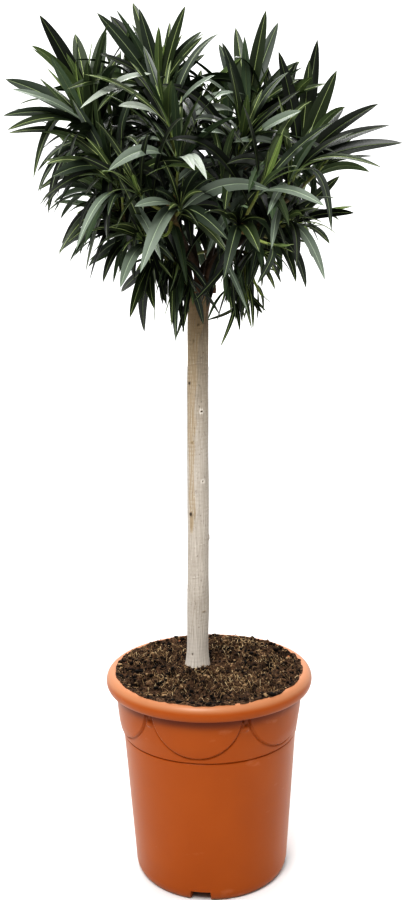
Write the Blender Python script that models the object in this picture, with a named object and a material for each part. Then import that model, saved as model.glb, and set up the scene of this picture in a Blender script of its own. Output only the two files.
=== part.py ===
"""Potted oleander grown as a standard: a clean stem with a ball of leafy shoots, in a moulded pot.

Metres, +Z up. The origin is on the pot's turning axis, in the plane that the pot stands on.
"""
import math
import random

import bmesh
import bpy
from mathutils import Matrix, Vector

# ---- Driving dimensions -------------------------------------------------------------------------

GAP = 0.0003              # clearance between pieces that touch
SIDES = 54                # facets round the pot and the soil

# Pot: one moulded shell with a rolled rim and a foot ring.
RIM_RADIUS = 0.170        # outside of the rolled rim
RIM_TOP = 0.342           # height over the floor
RIM_HALF_WIDTH = 0.0127
RIM_HALF_HEIGHT = 0.014
WALL = 0.0026
WALL_RADIUS = 0.1490      # outside of the body just under the rim
WALL_TOP = 0.316
SHOULDER_RADIUS = 0.1434  # outside of the body at the lower edge of the raised band
SHOULDER_Z = 0.2407
BASE_RADIUS = 0.1276      # outside of the body where the bottom fillet begins
BASE_FILLET = 0.0185
FOOT_OUTER = 0.118
FOOT_INNER = 0.108
FOOT_DRAFT = 0.002        # slope of the foot ring's inner side
FLOOR_RAISE = 0.0178      # underside of the floor over the foot ring's plane
FLOOR_TOP = 0.0206
NOTCH_WIDTH = 0.029       # drainage notches through the foot ring
NOTCH_HEIGHT = 0.0165
NOTCH_TURN = -8.5         # first notch, degrees from the front towards +X
RIM_CURL = (-40.0, 150.0) # where the roll begins outside and ends inside, degrees from outwards
RIM_STEPS = 9             # points round the rolled rim, outside
CURL_STEPS = 6            # points round the hollow under the roll
FLOOR_CORNER = 0.006      # bevel between the wall and the floor, inside

# Soil: fills the pot and rises a little towards the stem.
SOIL_EDGE_Z = 0.329
SOIL_SEAT_Z = 0.341
SOIL_SEAT_RADIUS = 0.026
SOIL_RINGS = (0.86, 0.66, 0.45)  # rings of its top, as shares of the way out to the wall
HEAP_AT = Vector((0.050, 0.075, 0.0))  # a low heap behind the stem, on the right
HEAP_HEIGHT = 0.006
HEAP_WIDTH = 0.045

# Stem, from the soil to the fork.
STEM_FOOT = Vector((-0.0190, 0.010, SOIL_SEAT_Z + GAP))
FORK = Vector((-0.0075, 0.0, 0.966))
STEM_FLARE = 0.0215       # radius at the soil
STEM_LOW = 0.0180         # radius over the root flare
STEM_HIGH = 0.0163        # radius under the fork
FLARE_HEIGHT = 0.035
KNUCKLE_RADIUS = 0.0265   # swollen head that the boughs spring from
KNUCKLE_HEIGHT = 0.045
STEM_BOW = 0.003          # sideways bow halfway up
STEM_SIDES = 20
STEM_RINGS = 14

# Boughs: canes in a ring on the knuckle, and one in its middle.
BOUGH_RING = 0.0187
BOUGH_FOOT = 0.0063       # radius at the foot
BOUGH_TIP = 0.0048        # radius where the cane enters its foliage
BOUGH_RISE = 0.034        # how far the cane rises before it leans out
BOUGH_REACH = 0.115       # from the fork's centre to the face where it enters the foliage
BOUGH_SIDES = 10
BOUGH_RINGS = 8

# Foliage: masses that radiate from the fork, parted by planes through its centre.
SEAT_SPREAD = 24.0        # half angle of the flat where a cane enters, degrees
TIP_SPREAD = 23.0         # half angle over which a shoot swells towards its tip, degrees
UNEVEN = 0.10             # seeded swell of each mass's surface
WAVES = 4                 # seeded waves that the swell is made of
WAVE_PITCH = 3.0
SHOOTS = 5                # seeded lesser shoots on each mass
SHOOT_REACH = (1.05, 1.25)  # their length against the mass's own radius
SEED = 11
STEM_CLEAR = 0.046        # low masses stay this far from the stem's axis

# name: (centre, radii, tips of the leading shoots, slot on the knuckle or None)
FOLIAGE = {
    "foliage_left_top": (
        (-0.178, -0.015, 1.232), (0.084, 0.108, 0.084),
        ((-0.247, -0.030, 1.366), (-0.140, 0.0, 1.345), (-0.288, -0.020, 1.290)), 5),
    "foliage_top_left": (
        (-0.060, 0.0, 1.262), (0.080, 0.110, 0.088),
        ((-0.098, 0.0, 1.391), (-0.017, 0.010, 1.379), (-0.154, -0.010, 1.376)), "middle"),
    "foliage_top_right": (
        (0.085, 0.020, 1.228), (0.074, 0.110, 0.090),
        ((0.115, 0.020, 1.377), (0.164, 0.030, 1.300), (0.030, 0.0, 1.320)), 1),
    "foliage_right_top": (
        (0.188, -0.010, 1.150), (0.082, 0.110, 0.084),
        ((0.185, -0.020, 1.329), (0.270, -0.030, 1.242), (0.307, -0.020, 1.190)), 0),
    "foliage_right_mid": (
        (0.148, 0.010, 1.040), (0.074, 0.100, 0.062),
        ((0.276, 0.0, 1.128), (0.243, 0.030, 1.065), (0.200, -0.020, 0.970)), None),
    "foliage_right_low": (
        (0.088, -0.025, 0.962), (0.052, 0.082, 0.044),
        ((0.036, -0.030, 0.884), (0.100, -0.030, 0.925), (0.190, -0.040, 0.955)), None),
    "foliage_left_mid": (
        (-0.172, -0.020, 1.108), (0.078, 0.100, 0.072),
        ((-0.304, -0.020, 1.218), (-0.262, -0.030, 1.110), (-0.222, -0.040, 1.015)), 4),
    "foliage_left_low": (
        (-0.104, -0.020, 1.000), (0.068, 0.094, 0.064),
        ((-0.180, -0.030, 1.000), (-0.125, -0.030, 0.955), (-0.090, -0.050, 0.897)), None),
    "foliage_front_left": (
        (-0.065, -0.160, 1.125), (0.092, 0.088, 0.098),
        ((-0.040, -0.303, 1.160), (-0.140, -0.250, 1.210), (-0.060, -0.240, 1.000)), 6),
    "foliage_front_right": (
        (0.088, -0.160, 1.090), (0.092, 0.088, 0.092),
        ((0.100, -0.298, 1.130), (0.160, -0.235, 1.200), (0.060, -0.240, 0.975)), 7),
    "foliage_back_left": (
        (-0.095, 0.160, 1.145), (0.096, 0.090, 0.100),
        ((-0.110, 0.303, 1.180), (-0.185, 0.240, 1.265), (-0.160, 0.245, 1.040)), 3),
    "foliage_back_right": (
        (0.098, 0.165, 1.125), (0.094, 0.090, 0.096),
        ((0.120, 0.300, 1.190), (0.205, 0.235, 1.110), (0.080, 0.255, 1.265)), 2),
    "foliage_back_low": (
        (0.005, 0.128, 1.006), (0.094, 0.078, 0.066),
        ((0.040, 0.225, 0.950), (-0.065, 0.215, 0.945)), None),
}

SLOTS = 8                 # places round the knuckle's ring
HUB = FORK + Vector((0.0, 0.0, 0.004))  # the point that all the parting planes share

# ---- Materials ----------------------------------------------------------------------------------


def material(name, colour, roughness):
    mat = bpy.data.materials.new(name)
    mat.use_nodes = True
    shader = mat.node_tree.nodes["Principled BSDF"]
    shader.inputs["Base Color"].default_value = (*colour, 1.0)
    shader.inputs["Roughness"].default_value = roughness
    shader.inputs["Metallic"].default_value = 0.0
    return mat


# ---- Mesh helpers -------------------------------------------------------------------------------


def finish(name, bm, mat, smooth=True, turn_out=True):
    """Make the object of a bmesh. Its faces are turned outwards, unless they are already."""
    if turn_out:
        bmesh.ops.recalc_face_normals(bm, faces=bm.faces)
    mesh = bpy.data.meshes.new(name)
    bm.to_mesh(mesh)
    bm.free()
    if smooth:
        mesh.shade_smooth()
        mesh.set_sharp_from_angle(angle=math.radians(35.0))
    mesh.materials.append(mat)
    obj = bpy.data.objects.new(name, mesh)
    bpy.context.scene.collection.objects.link(obj)
    return obj


def circle(centre, radius, sides, along=Vector((0.0, 0.0, 1.0)), turn=0.0):
    """Points of a ring round centre, square to the direction along."""
    frame = Vector((0.0, 0.0, 1.0)).rotation_difference(along.normalized())
    ring = []
    for i in range(sides):
        angle = turn + 2.0 * math.pi * i / sides
        ring.append(centre + frame @ Vector((radius * math.cos(angle), radius * math.sin(angle), 0.0)))
    return ring


def loft(bm, rings):
    """A skin over rings of equal count, closed by a flat face or a fan at each end."""
    rows = [[bm.verts.new(p) for p in ring] for ring in rings]
    for low, high in zip(rows, rows[1:]):
        for i in range(len(low)):
            j = (i + 1) % len(low)
            bm.faces.new((low[i], low[j], high[j], high[i]))
    bm.faces.new(rows[0][::-1])
    bm.faces.new(rows[-1])


def turned(bm, profile, sides):
    """Turn a closed outline of (radius, z) about the Z axis. Its first and last points lie on the axis."""
    rows = [[bm.verts.new(p) for p in circle(Vector((0.0, 0.0, z)), r, sides)] for r, z in profile[1:-1]]
    for low, high in zip(rows, rows[1:]):
        for i in range(sides):
            j = (i + 1) % sides
            bm.faces.new((low[i], low[j], high[j], high[i]))
    for row, (_, z) in ((rows[0], profile[0]), (rows[-1], profile[-1])):
        hub = bm.verts.new((0.0, 0.0, z))
        for i in range(sides):
            bm.faces.new((row[i], row[(i + 1) % sides], hub))


# ---- Pot ----------------------------------------------------------------------------------------


def inner_radius(z):
    """Inside radius of the pot's wall at height z."""
    if z < SHOULDER_Z:
        share = (z - BASE_FILLET) / (SHOULDER_Z - BASE_FILLET)
        return BASE_RADIUS + share * (SHOULDER_RADIUS - BASE_RADIUS) - WALL
    share = (z - SHOULDER_Z) / (WALL_TOP - SHOULDER_Z)
    return SHOULDER_RADIUS + share * (WALL_RADIUS - SHOULDER_RADIUS) - WALL


def arc(centre_r, centre_z, half_r, half_z, start, end, steps):
    """Points of an elliptical arc in the (radius, z) plane, angles in degrees."""
    points = []
    for i in range(steps):
        angle = math.radians(start + (end - start) * i / (steps - 1))
        points.append((centre_r + half_r * math.cos(angle), centre_z + half_z * math.sin(angle)))
    return points


def pot(mat):
    rim_r = RIM_RADIUS - RIM_HALF_WIDTH
    rim_z = RIM_TOP - RIM_HALF_HEIGHT
    outline = [(0.0, FLOOR_RAISE), (FOOT_INNER - FOOT_DRAFT, FLOOR_RAISE)]
    outline += [(FOOT_INNER, 0.0), (FOOT_OUTER, 0.0)]
    outline += arc(FOOT_OUTER, BASE_FILLET, BASE_RADIUS - FOOT_OUTER, BASE_FILLET, -60.0, 0.0, 4)
    outline += [(SHOULDER_RADIUS, SHOULDER_Z), (WALL_RADIUS, WALL_TOP)]
    hollow = arc(rim_r, rim_z, RIM_HALF_WIDTH - WALL, RIM_HALF_HEIGHT - WALL, 180.0, RIM_CURL[0], CURL_STEPS)
    outline += hollow[1:]
    outline += arc(rim_r, rim_z, RIM_HALF_WIDTH, RIM_HALF_HEIGHT, *RIM_CURL, RIM_STEPS)
    outline += [(inner_radius(z), z) for z in (WALL_TOP, SHOULDER_Z, FLOOR_TOP + FLOOR_CORNER)]
    outline += [(inner_radius(FLOOR_TOP) - FLOOR_CORNER, FLOOR_TOP), (0.0, FLOOR_TOP)]
    bm = bmesh.new()
    turned(bm, outline, SIDES)
    body = finish("pot", bm, mat)
    # Two long blocks cross under the floor and cut the four notches.
    block = (NOTCH_WIDTH, 3.0 * RIM_RADIUS, 2.0 * NOTCH_HEIGHT)
    for quarter in range(2):
        cutter_bm = bmesh.new()
        bmesh.ops.create_cube(cutter_bm, size=1.0)
        bmesh.ops.scale(cutter_bm, vec=block, verts=cutter_bm.verts)
        spin = Matrix.Rotation(math.radians(NOTCH_TURN + 90.0 * quarter), 4, "Z")
        bmesh.ops.transform(cutter_bm, matrix=spin, verts=cutter_bm.verts)
        cutter = finish(f"notch_cutter_{quarter}", cutter_bm, mat, smooth=False)
        cutter.hide_render = True
        cutter.display_type = "WIRE"
        cut = body.modifiers.new(f"notches_{quarter}", "BOOLEAN")
        cut.operation = "DIFFERENCE"
        cut.solver = "EXACT"
        cut.object = cutter


# ---- Soil ---------------------------------------------------------------------------------------


def soil(mat):
    slack = 2.0 * GAP
    edge = inner_radius(WALL_TOP) - slack
    side = [(inner_radius(FLOOR_TOP) - FLOOR_CORNER - slack, FLOOR_TOP + GAP)]
    side += [(inner_radius(z) - slack, z) for z in (FLOOR_TOP + FLOOR_CORNER, SHOULDER_Z, WALL_TOP)]
    side += [(edge, SOIL_EDGE_Z)]
    rings = [circle(Vector((0.0, 0.0, z)), r, SIDES) for r, z in side]
    for share in (*SOIL_RINGS, 0.0):
        # The rings drift from the pot's axis to the stem's, so that the innermost is the stem's seat.
        radius = SOIL_SEAT_RADIUS + share * (edge - SOIL_SEAT_RADIUS)
        centre = STEM_FOOT * (1.0 - share)
        ring = circle(Vector((centre.x, centre.y, 0.0)), radius, SIDES)
        for p in ring:
            heap = HEAP_HEIGHT * math.exp(-((p - HEAP_AT).length / HEAP_WIDTH) ** 2) if share else 0.0
            p.z = SOIL_EDGE_Z + (SOIL_SEAT_Z - SOIL_EDGE_Z) * (1.0 - share ** 2) + heap
        rings.append(ring)
    bm = bmesh.new()
    loft(bm, rings)
    finish("soil", bm, mat)


# ---- Stem and boughs ----------------------------------------------------------------------------


def stem_radius(share):
    height = share * (FORK.z - STEM_FOOT.z)
    radius = STEM_LOW + share * (STEM_HIGH - STEM_LOW)
    radius += (STEM_FLARE - STEM_LOW) * max(0.0, 1.0 - height / FLARE_HEIGHT) ** 2
    under = (FORK.z - STEM_FOOT.z - height) / KNUCKLE_HEIGHT
    return radius + (KNUCKLE_RADIUS - STEM_HIGH) * max(0.0, 1.0 - under) ** 1.3


def stem(mat):
    rings = []
    for i in range(STEM_RINGS):
        # Rings crowd towards both ends, where the flare and the knuckle are.
        share = 0.5 - 0.5 * math.cos(math.pi * i / (STEM_RINGS - 1))
        centre = STEM_FOOT.lerp(FORK, share)
        centre.x += STEM_BOW * math.sin(2.0 * math.pi * share)
        rings.append(circle(centre, stem_radius(share), STEM_SIDES))
    bm = bmesh.new()
    loft(bm, rings)
    finish("trunk", bm, mat)


def bough(name, slot, along, mat):
    foot = FORK + Vector((0.0, 0.0, GAP))
    if slot != "middle":
        angle = 2.0 * math.pi * slot / SLOTS
        foot += BOUGH_RING * Vector((math.cos(angle), math.sin(angle), 0.0))
    up = Vector((0.0, 0.0, 1.0))
    end = HUB + along * (BOUGH_REACH - GAP)
    leave = foot + up * BOUGH_RISE
    arrive = end - along * BOUGH_RISE
    rings = []
    for i in range(BOUGH_RINGS):
        t = i / (BOUGH_RINGS - 1)
        s = 1.0 - t
        centre = foot * s ** 3 + leave * 3.0 * s * s * t + arrive * 3.0 * s * t * t + end * t ** 3
        run = (leave - foot) * s * s + (arrive - leave) * 2.0 * s * t + (end - arrive) * t * t
        radius = BOUGH_FOOT + t * (BOUGH_TIP - BOUGH_FOOT)
        rings.append(circle(centre, radius, BOUGH_SIDES, run))
    bm = bmesh.new()
    loft(bm, rings)
    finish(name, bm, mat)


# ---- Foliage ------------------------------------------------------------------------------------


def parting_planes(name, along):
    """Planes (point, normal) that the mass stays behind, one for each other mass."""
    planes = []
    for other, direction in along.items():
        if other != name:
            normal = (direction - along[name]).normalized()
            planes.append((HUB - normal * GAP, normal))
    return planes


def foliage(name, along, rng, mat):
    centre, radii, tips, slot = FOLIAGE[name]
    centre = Vector(centre)
    inward = -along[name]
    planes = parting_planes(name, along)
    level = Vector((along[name].x, along[name].y, 0.0)).normalized()
    if slot is None:
        planes.append((HUB + level * STEM_CLEAR, -level))
    else:
        planes.append((HUB + along[name] * BOUGH_REACH, inward))
    seat_reach = (centre - HUB).length - BOUGH_REACH

    bm = bmesh.new()
    bmesh.ops.create_icosphere(bm, subdivisions=3, radius=1.0)
    pole = Vector((0.0, 0.0, -1.0)).rotation_difference(inward)
    directions = [(pole @ v.co).normalized() for v in bm.verts]

    # Leading shoots reach their tips; lesser ones are dealt out round the outer half.
    shoots = [(Vector(tip) - centre) for tip in tips]
    while len(shoots) < len(tips) + SHOOTS:
        ray = Vector((rng.gauss(0.0, 1.0), rng.gauss(0.0, 1.0), rng.gauss(0.25, 1.0))).normalized()
        if ray.dot(inward) < 0.1:
            reach = 1.0 / math.sqrt(sum((ray[k] / radii[k]) ** 2 for k in range(3)))
            shoots.append(ray * reach * rng.uniform(*SHOOT_REACH))
    for shoot in shoots[:len(tips)]:
        ray = shoot.normalized()
        nearest = max(range(len(directions)), key=lambda i: directions[i].dot(ray))
        directions[nearest] = ray
    waves = []
    for _ in range(WAVES):
        heading = Vector((rng.gauss(0.0, 1.0), rng.gauss(0.0, 1.0), rng.gauss(0.0, 1.0)))
        waves.append((heading * WAVE_PITCH, rng.uniform(0.0, 2.0 * math.pi)))

    for v, ray in zip(bm.verts, directions):
        reach = 1.0 / math.sqrt(sum((ray[k] / radii[k]) ** 2 for k in range(3)))
        reach *= 1.0 + UNEVEN * sum(math.sin(w.dot(ray) + phase) for w, phase in waves) * 2.0 / WAVES
        for shoot in shoots:
            off = math.degrees(ray.angle(shoot)) / TIP_SPREAD
            if off < 1.0:
                reach = max(reach, reach + (shoot.length - reach) * (1.0 - off) ** 1.5)
        if slot is not None:
            off = math.degrees(ray.angle(inward))
            if off < SEAT_SPREAD:
                reach = max(reach, 1.2 * seat_reach)
        for point, normal in planes:
            facing = ray.dot(normal)
            if facing > 0.0:
                reach = min(reach, (point - centre).dot(normal) / facing)
        v.co = centre + ray * reach
    finish(name, bm, mat, turn_out=False)


# ---- The plant ----------------------------------------------------------------------------------

for old in list(bpy.data.objects):
    bpy.data.objects.remove(old, do_unlink=True)

MOULDED = material("terracotta polypropylene", (0.46, 0.10, 0.022), 0.42)
PEAT = material("peat compost", (0.08, 0.05, 0.03), 0.95)
BARK = material("pale bark", (0.50, 0.44, 0.38), 0.80)
CANE = material("young cane", (0.16, 0.13, 0.06), 0.65)
LEAF = material("oleander leaf", (0.035, 0.060, 0.028), 0.45)

pot(MOULDED)
soil(PEAT)
stem(BARK)
ALONG = {name: (Vector(spec[0]) - HUB).normalized() for name, spec in FOLIAGE.items()}
RNG = random.Random(SEED)
for mass in FOLIAGE:
    if FOLIAGE[mass][3] is not None:
        bough(mass.replace("foliage", "bough"), FOLIAGE[mass][3], ALONG[mass], CANE)
    foliage(mass, ALONG, RNG, LEAF)
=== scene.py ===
import math
import random

import bpy
import numpy as np
from mathutils import Euler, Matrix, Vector


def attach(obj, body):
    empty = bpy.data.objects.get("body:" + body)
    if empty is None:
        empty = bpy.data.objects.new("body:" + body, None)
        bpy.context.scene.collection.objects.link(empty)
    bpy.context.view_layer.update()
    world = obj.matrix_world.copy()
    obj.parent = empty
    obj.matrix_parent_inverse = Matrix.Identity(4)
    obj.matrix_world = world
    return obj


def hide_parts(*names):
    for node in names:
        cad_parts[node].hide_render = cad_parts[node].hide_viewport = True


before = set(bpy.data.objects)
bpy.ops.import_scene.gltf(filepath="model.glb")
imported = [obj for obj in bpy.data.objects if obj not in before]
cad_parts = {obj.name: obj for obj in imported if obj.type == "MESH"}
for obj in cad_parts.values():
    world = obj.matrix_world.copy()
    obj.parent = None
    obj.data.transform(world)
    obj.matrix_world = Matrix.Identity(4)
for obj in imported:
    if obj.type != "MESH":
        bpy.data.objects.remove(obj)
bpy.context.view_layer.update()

# ---- Camera, floor and light ------------------------------------------------------------------
# A camera a little under the height of the plant's fork, that looks slightly down. The floor is
# a plain pale sheet, under a soft studio sky with two large softboxes: the key high in front on
# the left, and a weaker one high behind.

FRAME_HEIGHT = 900             # pixels
FOCAL = 955.6                  # focal length in pixels of that height
SENSOR = 24.0                  # mm, the sensor's height
CAMERA_AT = (0.0, -1.523, 0.9246)  # metres; the front is -Y
CAMERA_DOWN = 8.19             # degrees under level
CAMERA_LEFT = 0.253            # degrees off the Y axis
CAMERA_ROLL = -0.894           # degrees about its own line of sight

camera = bpy.data.objects.new("camera", bpy.data.cameras.new("camera"))
camera.data.sensor_fit = "VERTICAL"
camera.data.sensor_height = SENSOR
camera.data.lens = FOCAL / FRAME_HEIGHT * SENSOR
camera.data.clip_start = 0.05
camera.rotation_mode = "QUATERNION"
look = Euler((math.radians(90.0 - CAMERA_DOWN), 0.0, math.radians(CAMERA_LEFT)))
roll = Euler((0.0, 0.0, math.radians(CAMERA_ROLL)))
camera.rotation_quaternion = look.to_quaternion() @ roll.to_quaternion()
camera.location = CAMERA_AT
bpy.context.scene.collection.objects.link(camera)
bpy.context.scene.camera = camera
bpy.context.scene.view_settings.view_transform = "Standard"
bpy.context.scene.view_settings.look = "High Contrast"


def linear(code):
    """The linear colour of an sRGB hex value."""
    channels = [int(code[i:i + 2], 16) / 255.0 for i in (1, 3, 5)]
    return [c / 12.92 if c <= 0.04045 else ((c + 0.055) / 1.055) ** 2.4 for c in channels] + [1.0]


def add(tree, kind, inputs=None, **settings):
    """Add a node. An input is a value, a node (its first output) or a (node, output name) pair."""
    node = tree.nodes.new(kind)
    for name, value in settings.items():
        setattr(node, name, value)
    for name, value in (inputs or {}).items():
        socket = node.inputs[name]
        if isinstance(value, bpy.types.Node):
            tree.links.new(value.outputs[0], socket)
        elif isinstance(value, tuple) and isinstance(value[0], bpy.types.Node):
            tree.links.new(value[0].outputs[value[1]], socket)
        else:
            socket.default_value = value
    return node


def plain_material(name, **sockets):
    """A Principled material. A socket's name is written with _ for a space."""
    mat = bpy.data.materials.new(name)
    mat.use_nodes = True
    shader = mat.node_tree.nodes["Principled BSDF"]
    for socket, value in sockets.items():
        shader.inputs[socket.replace("_", " ")].default_value = value
    return mat, mat.node_tree, shader


SKY_BEHIND = 1.03              # brightness at the horizon behind the plant
SKY_FRONT = 0.12               # and behind the viewer, where the studio is darker
SKY_HIGH = 1.40                # brightness overhead
world = bpy.data.worlds.new("studio sky")
world.use_nodes = True
tree = world.node_tree
spot = add(tree, "ShaderNodeTexCoord")
split = add(tree, "ShaderNodeSeparateXYZ", {"Vector": (spot, "Generated")})
low = add(tree, "ShaderNodeMapRange", {"Value": (split, "Y"), "From Min": -0.6, "From Max": 0.6,
                                       "To Min": SKY_FRONT, "To Max": SKY_BEHIND})
high = add(tree, "ShaderNodeMapRange", {"Value": (split, "Z"), "From Min": 0.3, "From Max": 1.0})
glow = add(tree, "ShaderNodeMix", {"Factor": high, "A": low, "B": SKY_HIGH}, data_type="FLOAT")
# Seen directly, the studio's backdrop is plain white all round.
ray = add(tree, "ShaderNodeLightPath")
shown = add(tree, "ShaderNodeMix", {"Factor": (ray, "Is Camera Ray"), "A": glow, "B": SKY_BEHIND},
            data_type="FLOAT")
sky = tree.nodes["Background"]
sky.inputs["Color"].default_value = linear("#FFFFFF")
tree.links.new(shown.outputs[0], sky.inputs["Strength"])
bpy.context.scene.world = world

FLOOR_HALF = 15.0              # metres
floor_mesh = bpy.data.meshes.new("floor")
corners = [(x * FLOOR_HALF, y * FLOOR_HALF, 0.0) for x, y in ((-1, -1), (1, -1), (1, 1), (-1, 1))]
floor_mesh.from_pydata(corners, [], [(0, 1, 2, 3)])
# A matt sheet, pale enough to read as white without lighting the plant from below.
floor_mat, _, _ = plain_material("matt pale floor", Base_Color=linear("#D5D5D5"), Roughness=0.9)
floor_mesh.materials.append(floor_mat)
floor = bpy.data.objects.new("floor", floor_mesh)
bpy.context.scene.collection.objects.link(floor)

SOFTBOX_AIM = Vector((0.0, 0.0, 0.7))  # halfway up the plant
# name: (place, side of the square, watts)
SOFTBOXES = {
    "softbox key": ((-0.6, -1.7, 2.6), 1.1, 58.0),
    "softbox back": ((-0.2, 1.2, 2.5), 1.2, 26.0),
}
for name, (place, side, watts) in SOFTBOXES.items():
    softbox = bpy.data.objects.new(name, bpy.data.lights.new(name, "AREA"))
    softbox.data.size = side
    softbox.data.energy = watts
    softbox.location = place
    aim = SOFTBOX_AIM - softbox.location
    softbox.rotation_euler = aim.to_track_quat("-Z", "Y").to_euler()
    bpy.context.scene.collection.objects.link(softbox)

# ---- Pot --------------------------------------------------------------------------------------
# An 18 litre planter, injection moulded in one piece from terracotta-coloured polypropylene. The
# rim is rolled outwards, six shallow swags hang under it over a raised band, and four notches
# through the foot ring let water out.

# Sizes in metres. The wall's radii are its outside.
RIM_RADIUS = 0.170             # outside
RIM_TOP = 0.342
RIM_HALF_WIDTH = 0.0127        # the rolled rim's section is an ellipse
RIM_HALF_HEIGHT = 0.0152
WALL = 0.0026                  # thickness
WALL_RADIUS = 0.1490
WALL_TOP = 0.316
SHOULDER_RADIUS = 0.1434       # at the raised band's lower edge
SHOULDER_Z = 0.2407
SHOULDER_CLOSE = 0.004         # rows lie close together this far above and below that edge
SHOULDER_LEAN = 0.0003         # where the radius is this much more and this much less
BASE_RADIUS = 0.1276
BASE_FILLET = 0.0185
FOOT_OUTER = 0.118
FOOT_INNER = 0.108
FOOT_INSET = 0.003             # the raised floor ends this far inside the foot ring
FOOT_LAND = 0.0006             # the ring's flat underside starts this far outside its inner edge
FOOT_ROUND_WIDTH = 0.0016      # and is rounded off inwards over this
FOOT_ROUND_HEIGHT = 0.0012
FLOOR_RAISE = 0.0178           # underside of the floor
FLOOR_TOP = 0.0206
FLOOR_FILLET = 0.006           # inside, where the wall meets the floor
HUB_RADIUS = 0.004             # the smallest ring, in the middle of the floor
NOTCH_HALF = 0.0145
NOTCH_HEIGHT = 0.0165
NOTCH_SIDE = 0.0012            # how far the notch's side leans
PATTERN_TURN = math.radians(-8.5)  # the first swag and notch, from the front towards +X
PATTERN_LOW = 0.2              # nothing is raised on the wall under this
PATTERN_FADE = 0.004           # and all relief ends within this of the wall's top
GROOVE_DEPTH = 0.0016          # the fine groove along the band's and the swags' lower edges
GROOVE_HALF = 0.0011
BAND_STEP = 0.0016             # the raised band stands proud by this at its lower edge
BAND_EDGE = 0.0014             # over this height
BAND_EDGE_LOW = 0.0004         # which starts a little under the shoulder
BAND_SWELL = 0.0014            # and it stands proud by this much more
BAND_SWELL_HEIGHT = 0.026      # this much higher
BAND_GROOVE_LOW = 0.0015       # its groove lies this far under the shoulder
SWAGS = 6
SWAG_ARC = 0.073               # radius of a swag's lower edge
SWAG_CENTRE_Z = 0.322
SWAG_STEP = 0.0024             # how far a swag stands proud, reached over the next value
SWAG_EDGE = 0.0016
SWAG_SWELL = 0.0007            # and how much more it swells towards its middle
SWAG_SWELL_WIDTH = 0.022
SWAG_GROOVE_OUT = 0.0011
KNOT_Z = 0.2955                # the small knots between the swags
KNOT_RADIUS = 0.0062
KNOT_STEP = 0.0030
TAIL_ASIDE = 0.0050            # a smaller bump tops each knot, this far to its left
TAIL_UP = 0.0085               # and this far over it
POT_COLUMNS = 720


def smooth(x):
    """An eased step, from 0 where x is 0 or less to 1 where it is 1 or more."""
    x = np.clip(x, 0.0, 1.0)
    return x * x * (3.0 - 2.0 * x)


def build(name, points, faces, materials, choice=None):
    """A smooth-shaded mesh object. faces is a list of (n, k) index arrays; choice gives materials."""
    mesh = bpy.data.meshes.new(name)
    mesh.vertices.add(len(points))
    mesh.vertices.foreach_set("co", np.asarray(points, np.float32).ravel())
    counts = np.concatenate([np.full(len(f), f.shape[1]) for f in faces])
    loops = np.concatenate([f.ravel() for f in faces])
    mesh.loops.add(len(loops))
    mesh.loops.foreach_set("vertex_index", loops.astype(np.int32))
    mesh.polygons.add(len(counts))
    starts = np.concatenate([[0], np.cumsum(counts)[:-1]])
    mesh.polygons.foreach_set("loop_start", starts.astype(np.int32))
    for material in materials:
        mesh.materials.append(material)
    if choice is not None:
        mesh.polygons.foreach_set("material_index", np.asarray(choice, np.int32))
    mesh.update(calc_edges=True)
    mesh.validate()
    mesh.shade_smooth()
    obj = bpy.data.objects.new(name, mesh)
    bpy.context.scene.collection.objects.link(obj)
    return obj


def ring_faces(rows, columns):
    """Quads of a closed band of rows, each of so many columns, wound so that it faces outwards."""
    index = np.arange(rows * columns).reshape(rows, columns)
    right = np.roll(index, -1, axis=1)
    return np.stack([index[:-1], right[:-1], right[1:], index[1:]], axis=-1).reshape(-1, 4)


def cap_faces(row, hub):
    """Triangles from a row of indices to one point."""
    return np.stack([row, np.roll(row, -1), np.full(len(row), hub)], axis=-1)


def arc_points(centre_r, centre_z, half_r, half_z, start, end, steps):
    """Points (radius, height) along an ellipse between two angles in degrees."""
    angles = np.radians(np.linspace(start, end, steps))
    return [(centre_r + half_r * math.cos(a), centre_z + half_z * math.sin(a)) for a in angles]


def straight(start, end, steps):
    """Points (radius, height) along a line, without its first."""
    return [tuple(np.array(start) + (np.array(end) - start) * i / steps) for i in range(1, steps + 1)]


# The pot's section, from the middle of its underside up the outside and down the inside.
rim_r = RIM_RADIUS - RIM_HALF_WIDTH
rim_z = RIM_TOP - RIM_HALF_HEIGHT
foot_r = FOOT_INNER + FOOT_LAND
outline = [(HUB_RADIUS, FLOOR_RAISE)]
outline += straight(outline[-1], (FOOT_INNER - FOOT_INSET, FLOOR_RAISE), 8)
outline += arc_points(foot_r, FOOT_ROUND_HEIGHT, FOOT_ROUND_WIDTH, FOOT_ROUND_HEIGHT, 180.0, 270.0, 4)
outline += straight((foot_r, 0.0), (FOOT_OUTER, 0.0), 3)
outline += arc_points(FOOT_OUTER, BASE_FILLET, BASE_RADIUS - FOOT_OUTER, BASE_FILLET, -88.0, 0.0, 16)
outline += straight((BASE_RADIUS, BASE_FILLET),
                    (SHOULDER_RADIUS - SHOULDER_LEAN, SHOULDER_Z - SHOULDER_CLOSE), 20)
outline += straight(outline[-1], (SHOULDER_RADIUS + SHOULDER_LEAN, SHOULDER_Z + SHOULDER_CLOSE), 14)
outline += straight(outline[-1], (WALL_RADIUS, WALL_TOP), 54)
hollow_row = len(outline)  # rows from here on are the rim and the inside
outline += arc_points(rim_r, rim_z, RIM_HALF_WIDTH - WALL, RIM_HALF_HEIGHT - WALL, 150.0, -40.0, 14)
outline += arc_points(rim_r, rim_z, RIM_HALF_WIDTH, RIM_HALF_HEIGHT, -40.0, 150.0, 34)
outline += straight(outline[-1], (WALL_RADIUS - WALL, WALL_TOP), 3)
outline += straight(outline[-1], (SHOULDER_RADIUS - WALL, SHOULDER_Z), 4)
outline += straight(outline[-1], (BASE_RADIUS - WALL, FLOOR_TOP + FLOOR_FILLET), 5)
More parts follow.
